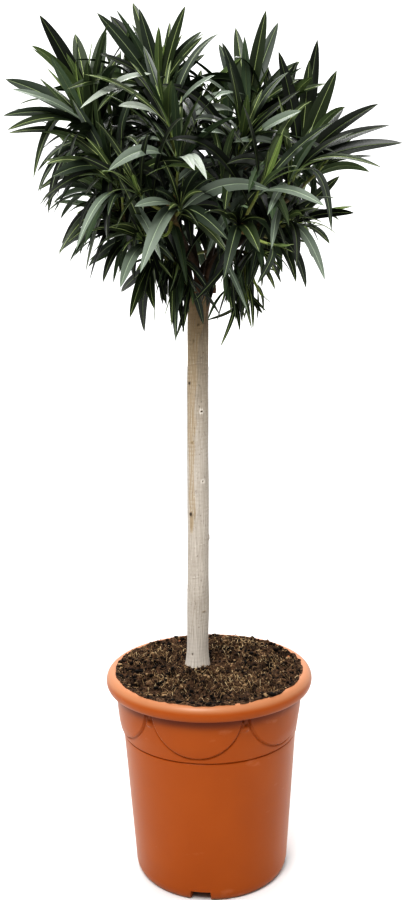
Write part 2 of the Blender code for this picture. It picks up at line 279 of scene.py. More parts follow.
outline += [(BASE_RADIUS - WALL - FLOOR_FILLET, FLOOR_TOP), (HUB_RADIUS, FLOOR_TOP)]
outline = np.array(outline)

angles = np.arange(POT_COLUMNS) * 2.0 * math.pi / POT_COLUMNS  # from the front, towards +X
radius = np.repeat(outline[:, :1], POT_COLUMNS, axis=1)
height = np.repeat(outline[:, 1:], POT_COLUMNS, axis=1)
rows_out = np.arange(len(outline))[:, None]


def groove(off_line):
    """Depth of a fine groove at that distance from its middle line."""
    return GROOVE_DEPTH * np.exp(-(off_line / GROOVE_HALF) ** 2)


# The band, the swags and the knots are all raised on the outer wall.
pitch = 2.0 * math.pi / SWAGS
off_swag = (angles[None, :] - PATTERN_TURN + pitch / 2.0) % pitch - pitch / 2.0
off_knot = (angles[None, :] - PATTERN_TURN) % pitch - pitch / 2.0
inside = SWAG_ARC - np.hypot(off_swag * radius, height - SWAG_CENTRE_Z)
over_band = height - SHOULDER_Z
relief = smooth((over_band + BAND_EDGE_LOW) / BAND_EDGE) * BAND_STEP
relief = relief + smooth(over_band / BAND_SWELL_HEIGHT) * BAND_SWELL
relief -= groove(over_band + BAND_GROOVE_LOW)
relief += smooth(inside / SWAG_EDGE) * SWAG_STEP + SWAG_SWELL * smooth(inside / SWAG_SWELL_WIDTH)
relief -= groove(inside + SWAG_GROOVE_OUT)
knot = np.hypot(off_knot * radius, height - KNOT_Z)
relief += KNOT_STEP * (1.0 - smooth((knot - 0.3 * KNOT_RADIUS) / KNOT_RADIUS))
tail = np.hypot(off_knot * radius + TAIL_ASIDE, (height - KNOT_Z - TAIL_UP) * 0.7)
relief += 0.6 * KNOT_STEP * (1.0 - smooth(tail / (0.7 * KNOT_RADIUS)))
relief *= rows_out < hollow_row
relief *= 1.0 - smooth((height - WALL_TOP + PATTERN_FADE) / PATTERN_FADE)
radius = radius + relief * (height > PATTERN_LOW)

# The notches lift the foot ring's underside to their roof.
quarter = math.pi / 2.0
off_notch = ((angles - PATTERN_TURN + quarter / 2.0) % quarter - quarter / 2.0) * FOOT_OUTER
roof = NOTCH_HEIGHT * smooth((NOTCH_HALF + NOTCH_SIDE - np.abs(off_notch)) / NOTCH_SIDE)
height = np.where(rows_out < hollow_row, np.maximum(height, roof[None, :]), height)

x = radius * np.sin(angles)
y = -radius * np.cos(angles)
points = np.stack([x, y, height], axis=-1).reshape(-1, 3)
last = len(outline) - 1
points = np.vstack([points, [[0.0, 0.0, FLOOR_RAISE], [0.0, 0.0, FLOOR_TOP]]])
first_row = np.arange(POT_COLUMNS)
faces = [ring_faces(len(outline), POT_COLUMNS),
         cap_faces(first_row[::-1], len(points) - 2),
         cap_faces(first_row + last * POT_COLUMNS, len(points) - 1)]


def waves(mm):
    """Noise scale, in waves per metre, for a feature of that many millimetres."""
    return 1000.0 / mm


# Moulded polypropylene: satin, slightly waxy gloss, with flow marks, fine grain and pale scuffs.
# The grain is drawn coarser than the real one, so that it shows.
pot_mat, tree, shader = plain_material("terracotta polypropylene", Roughness=0.36, IOR=1.49,
                                       Specular_IOR_Level=0.30)
spot = add(tree, "ShaderNodeTexCoord")
flow = add(tree, "ShaderNodeTexNoise", {"Vector": (spot, "Object"), "Scale": waves(90.0), "Detail": 3.0})
grain = add(tree, "ShaderNodeTexNoise", {"Vector": (spot, "Object"), "Scale": waves(1.2), "Detail": 2.0})
body = add(tree, "ShaderNodeMix", {"Factor": flow, "A": linear("#914604"), "B": linear("#9F5109")},
           data_type="RGBA")
scuff_place = add(tree, "ShaderNodeMapping", {"Vector": (spot, "Object"), "Scale": (1.0, 1.0, 2.2)})
scuff = add(tree, "ShaderNodeTexNoise", {"Vector": scuff_place, "Scale": waves(46.0), "Detail": 4.0})
scuffed = add(tree, "ShaderNodeMapRange",
              {"Value": scuff, "From Min": 0.66, "From Max": 0.80, "To Min": 0.0, "To Max": 0.16})
skin = add(tree, "ShaderNodeMix", {"Factor": scuffed, "A": (body, "Result"), "B": linear("#D3A088")},
           data_type="RGBA")
# The top of the rim is painted paler, a painted highlight; the strip just under it is painted a deeper
# colour, a painted shadow of the rim.
level = add(tree, "ShaderNodeSeparateXYZ", {"Vector": (spot, "Object")})
rim_top_highlight_mask = add(tree, "ShaderNodeMapRange", {"Value": (level, "Z"), "From Min": 0.3280, "From Max": 0.3365,
                                          "To Max": 0.60}, interpolation_type="SMOOTHSTEP")
painted_rim_highlight = add(tree, "ShaderNodeMix", {"Factor": rim_top_highlight_mask, "A": (skin, "Result"), "B": linear("#B18667")},
               data_type="RGBA")
# Painted shadow: under the rim the colour is painted a deeper, darker red.
below = add(tree, "ShaderNodeMapRange", {"Value": (level, "Z"), "From Min": 0.294, "From Max": 0.313,
                                         "To Max": 0.75}, interpolation_type="SMOOTHSTEP")
above = add(tree, "ShaderNodeMapRange", {"Value": (level, "Z"), "From Min": 0.313, "From Max": 0.320,
                                         "To Min": 1.0, "To Max": 0.0})
shaded = add(tree, "ShaderNodeMath", {0: below, 1: above}, operation="MULTIPLY")
deep = add(tree, "ShaderNodeMix", {"Factor": shaded, "A": (painted_rim_highlight, "Result"), "B": linear("#571400")},
           data_type="RGBA")
tree.links.new(deep.outputs["Result"], shader.inputs["Base Color"])
bump = add(tree, "ShaderNodeBump", {"Height": grain, "Strength": 0.12, "Distance": 0.0004})
tree.links.new(bump.outputs[0], shader.inputs["Normal"])

pot = build("planter", points, faces, [pot_mat])
pot.data.set_sharp_from_angle(angle=math.radians(50.0))
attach(pot, "root")
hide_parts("pot")

# ---- Soil -------------------------------------------------------------------------------------
# Moist peat compost, filled nearly to the rim's top, heaped round the stem and spilt on to the
# rim. Loose crumbs and pale straw-like fibres lie over its rough crust.

SOIL_RADIUS = 0.15
SOIL_EDGE_Z = 0.3345           # height at that radius
SOIL_SEAT_Z = 0.3415           # and in the middle
SOIL_WALL_RADIUS = 0.1440      # its hidden side, inside the pot's wall
SOIL_BASE_Z = 0.30
SOIL_LUMPS = 0.0044            # height of its lumps
SOIL_SPILL = 0.0014            # thickness of what lies on the rim
CALM_FROM = 0.016              # the lumps are lower by the stem, and grow over this range from it
CALM_RANGE = 0.03
THIN_FROM = 0.143              # and lower again from this radius out to the rim
THIN_RANGE = 0.007
SOIL_HUB = 0.02                # the smallest ring's share of the radius
LAP_BACK = 104.0               # degrees round the rim's section that the soil reaches at the back
LAP_FRONT = 34.0               # how much further it reaches at the front
LAP_RAGGED = 5.0               # and how ragged its edge is
LAP_PROUD = 0.0003             # how far that edge stands off the rim
LAP_ROWS = 6
LAP_HALF_WIDTH = 0.0115        # an ellipse within the rim's thickness
LAP_HALF_HEIGHT = 0.0127
STEM_FOOT = Vector((-0.0190, 0.010, 0.3413))
# Heaps of compost: place, height and width.
HEAPS = [(0.052, 0.092, 0.0085, 0.050), (-0.070, 0.085, 0.003, 0.035), (0.095, 0.020, 0.002, 0.040),
         (0.035, -0.075, 0.003, 0.040), (-0.019, 0.010, 0.002, 0.030)]
SOIL_COLUMNS = 460
SOIL_ROWS = 130
rng = random.Random(5)


def random_waves(seed, count, shortest, longest):
    """Seeded waves for a rolling surface: rows of x and y pitch (radians per metre), phase, weight."""
    draw = random.Random(seed)
    rows = []
    for _ in range(count):
        length = shortest * (longest / shortest) ** draw.random()
        way = draw.uniform(0.0, 2.0 * math.pi)
        rows.append((math.cos(way) * 6.283 / length, math.sin(way) * 6.283 / length,
                     draw.uniform(0.0, 6.283), (length / longest) ** 0.8))
    return np.array(rows)


SOIL_WAVES = random_waves(3, 90, 0.0045, 0.030)


def rough(x, y, table):
    """Height, about -1 to 1, of the summed waves at x, y."""
    total = np.zeros_like(x + y)
    for kx, ky, phase, weight in table:
        total += weight * np.sin(kx * x + ky * y + phase)
    return total / (0.9 * math.sqrt((table[:, 3] ** 2).sum()))


def soil_height(x, y):
    """Height of the crust. At its edge it rises to lie on the rim."""
    x = np.asarray(x, float)
    y = np.asarray(y, float)
    out = np.hypot(x, y)
    from_stem = np.hypot(x - STEM_FOOT.x, y - STEM_FOOT.y)
    mound = SOIL_EDGE_Z + (SOIL_SEAT_Z - SOIL_EDGE_Z) * (1.0 - np.clip(out / SOIL_RADIUS, 0.0, 1.0) ** 2)
    for at_x, at_y, tall, wide in HEAPS:
        mound = mound + tall * np.exp(-((x - at_x) ** 2 + (y - at_y) ** 2) / wide ** 2)
    slope = np.sqrt(np.clip(1.0 - ((rim_r - out) / RIM_HALF_WIDTH) ** 2, 0.0, 1.0)) * RIM_HALF_HEIGHT
    on_rim = rim_z + slope + SOIL_SPILL
    mound = np.where(out > rim_r - RIM_HALF_WIDTH, np.maximum(mound, on_rim), mound)
    calm = smooth((from_stem - CALM_FROM) / CALM_RANGE) * 0.7 + 0.3
    thin = 1.0 - 0.78 * smooth((out - THIN_FROM) / THIN_RANGE)
    return mound + SOIL_LUMPS * rough(x, y, SOIL_WAVES) * calm * thin


# The crust laps on to the rim by an uneven amount, and over its crest at the front. Its hidden
# edge runs back down inside the thickness of the rim.
LAP_WAVES = random_waves(8, 24, 0.008, 0.060)


def lap_angle(around):
    """How far the soil laps round the rim, as an angle on the rim's section: 90 degrees is its top."""
    ragged = rough(np.cos(around) * SOIL_RADIUS, np.sin(around) * SOIL_RADIUS, LAP_WAVES)
    return np.radians(LAP_BACK - LAP_RAGGED * ragged - LAP_FRONT * smooth(-np.sin(around)))


around = np.arange(SOIL_COLUMNS) * 2.0 * math.pi / SOIL_COLUMNS
lap_end = lap_angle(around)
lap = np.pi + (lap_end - np.pi) * np.linspace(0.0, 1.0, LAP_ROWS)[:, None]
hidden_r = rim_r + LAP_HALF_WIDTH * np.cos(lap)
hidden_z = rim_z + LAP_HALF_HEIGHT * np.sin(lap)
edge = rim_r + (RIM_HALF_WIDTH + LAP_PROUD) * np.cos(lap_end)
share = np.linspace(1.0, SOIL_HUB, SOIL_ROWS)[:, None]
reach = np.vstack([np.full((1, SOIL_COLUMNS), SOIL_WALL_RADIUS), hidden_r, share * edge])
crust_x = share * edge * np.cos(around)
crust_y = share * edge * np.sin(around)
level = np.vstack([np.full((1, SOIL_COLUMNS), SOIL_BASE_Z), hidden_z, soil_height(crust_x, crust_y)])
points = np.stack([reach * np.cos(around), reach * np.sin(around), level], axis=-1).reshape(-1, 3)
points = np.vstack([points, [[0.0, 0.0, SOIL_BASE_Z], [0.0, 0.0, float(soil_height(0.0, 0.0))]]])
row = np.arange(SOIL_COLUMNS)
last = LAP_ROWS + SOIL_ROWS
faces = [ring_faces(last + 1, SOIL_COLUMNS),
         cap_faces(row[::-1], len(points) - 2),
         cap_faces(row + last * SOIL_COLUMNS, len(points) - 1)]

# Peat: dark, matt and crumbly; its tone wanders in patches from near black to dry brown, and the bump's
# hollows are painted darker, a painted shade.
peat_mat, tree, shader = plain_material("moist peat compost", Roughness=0.95, IOR=1.35)
spot = add(tree, "ShaderNodeTexCoord")
patches = add(tree, "ShaderNodeTexNoise", {"Vector": (spot, "Object"), "Scale": waves(28.0), "Detail": 5.0})
crumble = add(tree, "ShaderNodeTexNoise", {"Vector": (spot, "Object"), "Scale": waves(3.0), "Detail": 5.0})
tone = add(tree, "ShaderNodeMath", {0: patches, 1: crumble}, operation="MULTIPLY")
tone = add(tree, "ShaderNodeMapRange", {"Value": tone, "From Min": 0.14, "From Max": 0.36})
peat = add(tree, "ShaderNodeMix", {"Factor": tone, "A": linear("#0C0603"), "B": linear("#614A38")},
           data_type="RGBA")
tree.links.new(peat.outputs["Result"], shader.inputs["Base Color"])
bump = add(tree, "ShaderNodeBump", {"Height": crumble, "Strength": 0.9, "Distance": 0.002})
tree.links.new(bump.outputs[0], shader.inputs["Normal"])

crust = build("soil_crust", points, faces, [peat_mat])
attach(crust, "root")
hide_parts("soil")

CRUMBS = 6100
CRUMB_LEAST = 0.0007           # metres
CRUMB_RANGE = 0.0034           # the largest are bigger by this
CRUMB_RARE = 3.5               # the higher this is, the fewer are large
CLEAR_OF_STEM = 0.021
CLEAR_OF_EDGE = 0.0005


def random_spot():
    """A seeded place on the soil, clear of the stem and just inside the soil's edge."""
    while True:
        way = rng.uniform(0.0, 2.0 * math.pi)
        edge = rim_r + RIM_HALF_WIDTH * math.cos(float(lap_angle(way)))
        reach = (edge - CLEAR_OF_EDGE) * math.sqrt(rng.random())
        x = reach * math.cos(way)
        y = reach * math.sin(way)
        if math.hypot(x - STEM_FOOT.x, y - STEM_FOOT.y) > CLEAR_OF_STEM:
            return x, y


def joined(name, parts, materials):
    """Join (points, faces, material index) parts, all with faces of one length, into one piece."""
    offset = 0
    all_points = []
    all_faces = []
    choice = []
    for part_points, part_faces, index in parts:
        all_points.append(part_points)
        all_faces.append(part_faces + offset)
        choice.append(np.full(len(part_faces), index) if np.isscalar(index) else index)
        offset += len(part_points)
    obj = build(name, np.vstack(all_points), [np.vstack(all_faces)], materials, np.concatenate(choice))
    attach(obj, "root")
    return obj


OCTA = np.array([(1, 0, 0), (-1, 0, 0), (0, 1, 0), (0, -1, 0), (0, 0, 1), (0, 0, -1)], float)
OCTA_FACES = np.array([(0, 2, 4), (2, 1, 4), (1, 3, 4), (3, 0, 4),
                       (2, 0, 5), (1, 2, 5), (3, 1, 5), (0, 3, 5)])


def lump(size):
    """A seeded crumb: an octahedron split once, then dented."""
    points = list(OCTA)
    faces = []
    middle = {}
    for a, b, c in OCTA_FACES:
        halves = []
        for pair in ((a, b), (b, c), (c, a)):
            key = tuple(sorted(pair))
            if key not in middle:
                middle[key] = len(points)
                mid = (points[key[0]] + points[key[1]]) / 2.0
                points.append(mid / np.linalg.norm(mid))
            halves.append(middle[key])
        ab, bc, ca = halves
        faces += [(a, ab, ca), (ab, b, bc), (ca, bc, c), (ab, bc, ca)]
    points = np.array(points)
    dents = np.array([rng.uniform(0.65, 1.25) for _ in points])[:, None]
    stretch = np.array([rng.uniform(0.6, 1.3), rng.uniform(0.6, 1.3), rng.uniform(0.45, 0.8)])
    return points * dents * stretch * size, np.array(faces)


# Damp patches, where more of the crumbs are nearly black: place and reach.
DAMP = [(-0.095, -0.010, 0.045), (0.100, -0.020, 0.040), (0.010, 0.060, 0.025), (-0.030, -0.090, 0.030)]
parts = []
for _ in range(CRUMBS):
    x, y = random_spot()
    size = CRUMB_LEAST + CRUMB_RANGE * rng.random() ** CRUMB_RARE
    shape, faces = lump(size)
    place = np.array([x, y, float(soil_height(x, y)) + 0.25 * size])
    damp = max(math.exp(-((x - dx) ** 2 + (y - dy) ** 2) / reach ** 2) for dx, dy, reach in DAMP)
    parts.append((shape + place, faces, rng.choices((0, 1, 2, 3), (4 + 12 * damp, 4, 2.5, 1.2))[0]))
# Peat crumbs and bark chips: matt, from wet and near black to dry and pale.
crumb_mats = [plain_material(f"peat crumb {tint[1:]}", Base_Color=linear(tint), Roughness=0.93, IOR=1.35)[0]
              for tint in ("#0D0603", "#291B11", "#57422F", "#8B7458")]
joined("soil_crumbs", parts, crumb_mats)

FIBRES = 3000
FIBRE_POINTS = 6
FIBRE_TAPER = (0.3, 1.0, 1.1, 1.0, 0.8, 0.2)
FIBRE_HALF = (0.00022, 0.00050)  # least and greatest half width
FIBRE_LENGTH = (0.004, 0.017)
FIBRE_LIFT = (0.0002, 0.0030)  # how far its middle stands off the soil
FIBRE_BEND = 2.2               # radians, either way
FIBRE_LIMIT = 0.152            # radius beyond which a fibre is led back inwards
FIBRE_RETURN = 0.985           # by this factor at each step


def ribbon(spine, half_widths, across):
    """A thin three-sided strand along a spine: points and quads. Its narrow ends are open."""
    points = []
    for p, w in zip(spine, half_widths):
        points += [p - across * w, p + across * w, p + np.array([0.0, 0.0, 0.9]) * w]
    faces = []
    for i in range(len(spine) - 1):
        for k in range(3):
            faces.append((3 * i + k, 3 * i + (k + 1) % 3, 3 * i + 3 + (k + 1) % 3, 3 * i + 3 + k))
    return np.array(points), np.array(faces)


# Fibres lie thickest in a few tufts.
TUFTS = [(0.045, -0.070, 0.035), (0.050, 0.095, 0.040), (-0.065, -0.060, 0.030), (-0.010, -0.035, 0.025),
         (0.100, 0.020, 0.025), (-0.085, 0.070, 0.030)]
parts = []
while len(parts) < FIBRES:
    x, y = random_spot()
    tufted = max(math.exp(-((x - tx) ** 2 + (y - ty) ** 2) / reach ** 2) for tx, ty, reach in TUFTS)
    if rng.random() > 0.14 + 0.86 * tufted:
        continue
    way = rng.uniform(0.0, 2.0 * math.pi)
    bend = rng.uniform(-FIBRE_BEND, FIBRE_BEND)
    length = rng.uniform(*FIBRE_LENGTH)
    lift = rng.uniform(*FIBRE_LIFT)
    spine = []
    for i in range(FIBRE_POINTS):
        t = i / (FIBRE_POINTS - 1.0)
        spine.append((x, y, float(soil_height(x, y)) + lift * (0.4 + math.sin(math.pi * t))))
        x += math.cos(way + bend * t) * length / (FIBRE_POINTS - 1.0)
        y += math.sin(way + bend * t) * length / (FIBRE_POINTS - 1.0)
        if math.hypot(x, y) > FIBRE_LIMIT:
            x, y = x * FIBRE_RETURN, y * FIBRE_RETURN
    across = np.array([-math.sin(way), math.cos(way), 0.0])
    widths = [rng.uniform(*FIBRE_HALF) * s for s in FIBRE_TAPER]
    points, faces = ribbon(np.array(spine), widths, across)
    parts.append((points, faces, rng.choices((0, 1, 2, 3), (4, 4, 3, 0.6 + 2.4 * tufted))[0]))
# Dry straw and coir: matt, mostly pale against the peat.
fibre_mats = [plain_material(f"straw fibre {tint[1:]}", Base_Color=linear(tint), Roughness=0.85, IOR=1.4)[0]
              for tint in ("#6E563D", "#A68C68", "#4A3726", "#CFBB96")]
joined("soil_fibres", parts, fibre_mats)

# ---- Trunk ------------------------------------------------------------------------------------
# The bare stem of a standard: one pale, smooth-barked cane as thick as a broom handle, with a
# slight root flare in the soil, old knots where side shoots were rubbed off, and a swollen,
# browner head that the boughs spring from.

FORK = Vector((-0.0075, 0.0, 0.966))  # the middle of the head, where it is widest
STEM_FLARE = 0.0215            # radius at the soil
STEM_LOW = 0.0180              # radius over the flare
STEM_HIGH = 0.0163             # radius under the head
STEM_MIDDLE = 0.0172           # between the two, for the width of marks
FLARE_HEIGHT = 0.035
KNUCKLE_RADIUS = 0.0265        # the head's
KNUCKLE_HEIGHT = 0.045
KNUCKLE_POWER = 1.3            # the higher this is, the more suddenly the head swells
STEM_BOW = 0.0008              # how far the stem strays from straight
STEM_SINK = 0.012              # how far the stem runs on into the soil
STEM_COLUMNS = 112
STEM_ROWS = 520
CROWN_OF_STEM = 0.011          # height of the domed top over the fork's level

# Marks on the bark: turn from the front towards +X (degrees), height, half width, half height,
# relief, and how strongly each stains the bark dark and tan. Relief under 0 is a dent, and a dark
# value under 0 is paler than the bark.
MARKS = [
    (-49, 0.814, 0.0030, 0.0040, 0.0011, 0.9, 0.3), (21, 0.784, 0.0013, 0.0013, -0.0005, 0.8, 0.0),
    (21, 0.769, 0.0060, 0.0062, 0.0005, -0.35, 0.0), (21, 0.769, 0.0020, 0.0020, 0.0008, 1.9, 0.2),
    (-32, 0.719, 0.0026, 0.0030, 0.0005, 0.35, 0.8), (28, 0.656, 0.0056, 0.0058, 0.0003, -0.30, 0.0),
    (28, 0.656, 0.0015, 0.0022, -0.0009, 1.5, 0.2), (-41, 0.602, 0.0042, 0.0050, 0.0014, 1.0, 0.3),
    (-39, 0.588, 0.0034, 0.0150, -0.0002, 0.1, 0.75), (34, 0.438, 0.0040, 0.0016, 0.0007, 0.4, 0.3),
    (-28, 0.365, 0.0020, 0.0022, -0.0010, 1.0, 0.0), (2, 0.905, 0.0036, 0.0030, 0.0008, 0.5, 0.5),
    (-25, 0.880, 0.0022, 0.0050, -0.0004, 0.5, 0.4), (30, 0.862, 0.0020, 0.0016, 0.0005, 0.5, 0.2),
    (120, 0.835, 0.0032, 0.0042, 0.0011, 0.9, 0.3), (-130, 0.742, 0.0030, 0.0036, 0.0012, 0.9, 0.4),
    (170, 0.690, 0.0026, 0.0030, 0.0009, 0.8, 0.3), (95, 0.560, 0.0036, 0.0046, 0.0013, 1.0, 0.3),
    (-150, 0.520, 0.0030, 0.0034, 0.0010, 0.7, 0.3), (150, 0.455, 0.0040, 0.0018, 0.0007, 0.5, 0.3),
    (-100, 0.420, 0.0026, 0.0030, -0.0008, 0.9, 0.2), (10, 0.700, 0.0012, 0.0012, 0.0004, 0.7, 0.0),
    (-12, 0.640, 0.0012, 0.0020, -0.0004, 0.5, 0.0), (-5, 0.533, 0.0014, 0.0012, 0.0004, 0.5, 0.1),
    (14, 0.600, 0.0010, 0.0014, -0.0004, 0.6, 0.0), (5, 0.412, 0.0012, 0.0014, 0.0004, 0.5, 0.0),
]
# Thin raised lines left by a tie or an old leaf whorl: first turn, last turn (degrees), height.
RING_LINES = [(8, 33, 0.552), (-27, 4, 0.497), (60, 150, 0.610), (-170, -80, 0.470), (-60, 20, 0.845)]
RING_PROUD = 0.00055
RING_HALF = 0.0009
LENTICELS = 190                # small pores scattered over the bark


def stem_radius(rise):
    """The stem's radius at that height over its foot."""
    whole = FORK.z - STEM_FOOT.z
    share = np.clip(rise / whole, 0.0, 1.0)
    radius = STEM_LOW + share * (STEM_HIGH - STEM_LOW)
    radius = radius + (STEM_FLARE - STEM_LOW) * np.clip(1.0 - rise / FLARE_HEIGHT, 0.0, 1.6) ** 2
    under = (whole - rise) / KNUCKLE_HEIGHT
    return radius + (KNUCKLE_RADIUS - STEM_HIGH) * np.clip(1.0 - under, 0.0, 1.0) ** KNUCKLE_POWER


# Rows up the stem, then a quarter turn over the domed head to a small last ring.
whole = FORK.z - STEM_FOOT.z
rise = np.linspace(-STEM_SINK, whole, STEM_ROWS)
dome = np.radians(np.linspace(6.0, 86.0, 16))
row_radius = np.concatenate([stem_radius(rise), KNUCKLE_RADIUS * np.cos(dome)])[:, None]
row_height = np.concatenate([STEM_FOOT.z + rise, FORK.z + CROWN_OF_STEM * np.sin(dome)])[:, None]
share = np.clip((row_height - STEM_FOOT.z) / whole, 0.0, 1.0)
centre_x = STEM_FOOT.x + (FORK.x - STEM_FOOT.x) * share + STEM_BOW * np.sin(2.0 * math.pi * share)
centre_y = STEM_FOOT.y + (FORK.y - STEM_FOOT.y) * share
turn = np.arange(STEM_COLUMNS)[None, :] * 2.0 * math.pi / STEM_COLUMNS


def bark_waves(seed, count, lobes, heights):
    """Seeded waves round and up a stem: lobes round it, pitch up it (radians per metre), phase."""
    draw = random.Random(seed)
    return [(draw.randint(*lobes), draw.choice((-1, 1)) * 6.283 / draw.uniform(*heights),
             draw.uniform(0.0, 6.283)) for _ in range(count)]


def on_bark(table):
    """The waves' sum at each point of the bark, about -1 to 1."""
    total = sum(np.cos(lobes * turn + pitch * row_height + phase) for lobes, pitch, phase in table)
    return total / math.sqrt(len(table) / 2.0)


# Bark relief: long shallow flutes, fine fibres drawn out up the stem, and faint level wrinkles.
flutes = on_bark(bark_waves(21, 14, (1, 5), (0.070, 0.300)))
fibres = on_bark(bark_waves(22, 50, (12, 44), (0.030, 0.160)))
wrinkles = on_bark(bark_waves(23, 40, (0, 4), (0.0022, 0.0080)))
relief = 0.00020 * flutes + 0.000024 * fibres + 0.000018 * wrinkles
dark = 0.045 * np.clip(fibres, -2.0, 3.0) + 0.02 * wrinkles

# A tan stain runs down the stem's left front and ends in a drip. By height: its half width and
# its middle, in degrees round the stem.
STAIN_LOW = 0.562
stain_half = np.interp(row_height, [STAIN_LOW, 0.590, 0.640, 0.740, 0.850, 0.930], [4, 13, 15, 22, 34, 70])
stain_turn = np.interp(row_height, [STAIN_LOW, 0.640, 0.850, 0.930], [-36, -38, -42, -30])
apart = (np.degrees(turn) - stain_turn + 180.0) % 360.0 - 180.0
edge_wander = 4.0 * on_bark(bark_waves(24, 12, (0, 3), (0.030, 0.120)))
stained = 1.0 - smooth((np.abs(apart) - stain_half - edge_wander) / 6.0)
stained = stained * smooth((row_height - STAIN_LOW) / 0.006)
tan = 0.62 * stained * (0.8 + 0.2 * fibres)
marks = random.Random(31)
lenticels = [(marks.uniform(-180, 180), marks.uniform(0.36, 0.94), marks.uniform(0.0005, 0.0011),
              marks.uniform(0.0004, 0.0008), 0.0002, marks.choice((-0.35, -0.25, 0.25, 0.40)), 0.0)
             for _ in range(LENTICELS)]
for degrees, level, half_wide, half_high, proud, darker, tanner in MARKS + lenticels:
    apart = (turn - math.radians(degrees) + math.pi) % (2.0 * math.pi) - math.pi
    near = np.hypot(apart * STEM_MIDDLE / half_wide, (row_height - level) / half_high)
    near = near * (1.0 + 0.12 * fibres)
    raised = 1.0 - smooth((near - 0.45) / 0.85)
    dimple = 1.0 - 0.45 * np.exp(-(near / 0.35) ** 2)
    relief = relief + proud * raised * dimple
    dark = dark + darker * (1.0 - smooth((near - 0.25) / 0.75))
    tan = np.maximum(tan, tanner * (1.0 - smooth((near - 0.7) / 0.9)))
for first, end, level in RING_LINES:
    middle = math.radians((first + end) / 2.0)
    half = math.radians((end - first) / 2.0)
    apart = (turn - middle + math.pi) % (2.0 * math.pi) - math.pi
    level = level + 0.0012 * np.sin(apart * 3.0)
    on = np.exp(-((row_height - level) / RING_HALF) ** 2) * (1.0 - smooth((np.abs(apart) - half) / 0.12))
    relief = relief + RING_PROUD * on
    # Each raised line is paler, and a dark line is painted just under it, a painted shadow of it.
    painted_shadow_under_line = np.exp(-((row_height - level + 0.0013) / 0.0006) ** 2) * (on > 0.01)
    dark = dark - 0.12 * on + 0.22 * painted_shadow_under_line

# All relief is twice as strong on the head, where old wood meets the boughs. The marks fade up
# the brown top of the stem, and just over the soil watering has washed the bark pale.
head = smooth((row_height - (FORK.z - 0.055)) / 0.05)
relief = relief * (1.0 + head)
upper = smooth((row_height - 0.80) / 0.12)
washed = smooth((0.47 - row_height) / 0.14)
dark = np.clip(dark * (1.0 - 0.5 * upper) - 0.18 * washed, -0.6, 1.0)
radius = row_radius + relief
points = np.stack([centre_x + radius * np.sin(turn), centre_y - radius * np.cos(turn),
                   row_height + 0.0 * turn], axis=-1).reshape(-1, 3)
rows = len(row_height)
tip = [[FORK.x, FORK.y, FORK.z + CROWN_OF_STEM]]
under = [[STEM_FOOT.x, STEM_FOOT.y, STEM_FOOT.z - STEM_SINK]]
points = np.vstack([points, tip, under])
row = np.arange(STEM_COLUMNS)
faces = [ring_faces(rows, STEM_COLUMNS), cap_faces(row + (rows - 1) * STEM_COLUMNS, len(points) - 2),
         cap_faces(row[::-1], len(points) - 1)]

# Bark: matt, pale grey-beige, blotched; browner and darker towards the fork, the head's own brown with
# painted shade from the crown over it; dark in its knots and fissures.
bark_mat, tree, shader = plain_material("smooth pale bark", Roughness=0.78, IOR=1.42)
spot = add(tree, "ShaderNodeTexCoord")
drawn_out = add(tree, "ShaderNodeMapping", {"Vector": (spot, "Object"), "Scale": (1.0, 1.0, 0.50)})
blotch = add(tree, "ShaderNodeTexNoise", {"Vector": drawn_out, "Scale": waves(16.0), "Detail": 5.0,
                                          "Roughness": 0.62})
fleck = add(tree, "ShaderNodeTexNoise", {"Vector": drawn_out, "Scale": waves(2.6), "Detail": 4.0})
split = add(tree, "ShaderNodeSeparateXYZ", {"Vector": (spot, "Object")})
browner = add(tree, "ShaderNodeMapRange", {"Value": (split, "Z"), "From Min": 0.70, "From Max": 0.93})
# The top of the stem, under the crown, is painted dark: its own brown wood with painted shade over it.
head_brown_and_shade_mask = add(tree, "ShaderNodeMapRange", {"Value": (split, "Z"), "From Min": 0.875, "From Max": 0.955})
pale = add(tree, "ShaderNodeMix", {"Factor": blotch, "A": linear("#948B7F"), "B": linear("#BBB3A9")},
           data_type="RGBA")
brown = add(tree, "ShaderNodeMix", {"Factor": blotch, "A": linear("#6C5E48"), "B": linear("#92836C")},
            data_type="RGBA")
up_stem = add(tree, "ShaderNodeMix", {"Factor": browner, "A": (pale, "Result"), "B": (brown, "Result")},
              data_type="RGBA")
bark_with_head_shade = add(tree, "ShaderNodeMix", {"Factor": head_brown_and_shade_mask, "A": (up_stem, "Result"), "B": linear("#4E3826")},
             data_type="RGBA")
tan_spot = add(tree, "ShaderNodeAttribute", attribute_name="tan")
tanned = add(tree, "ShaderNodeMix", {"Factor": (tan_spot, "Fac"), "A": (bark_with_head_shade, "Result"),
                                     "B": linear("#978364")}, data_type="RGBA")
# Above 0 the mesh's dark layer darkens the bark, and below 0 it pales it.
dark_spot = add(tree, "ShaderNodeAttribute", attribute_name="dark")
fleck_dark = add(tree, "ShaderNodeMapRange",
                 {"Value": fleck, "From Min": 0.57, "From Max": 0.76, "To Min": 0.0, "To Max": 0.42})
darkness = add(tree, "ShaderNodeMath", {0: (dark_spot, "Fac"), 1: fleck_dark},
               operation="ADD", use_clamp=True)
darkened = add(tree, "ShaderNodeMix", {"Factor": darkness, "A": (tanned, "Result"), "B": linear("#33291F")},
               data_type="RGBA")
light_spot = add(tree, "ShaderNodeMapRange",
                 {"Value": (dark_spot, "Fac"), "From Min": 0.0, "From Max": -0.6})
bark = add(tree, "ShaderNodeMix", {"Factor": light_spot, "A": (darkened, "Result"), "B": linear("#EAE4DC")},
           data_type="RGBA")
tree.links.new(bark.outputs["Result"], shader.inputs["Base Color"])
bump = add(tree, "ShaderNodeBump", {"Height": fleck, "Strength": 0.30, "Distance": 0.0006})
tree.links.new(bump.outputs[0], shader.inputs["Normal"])

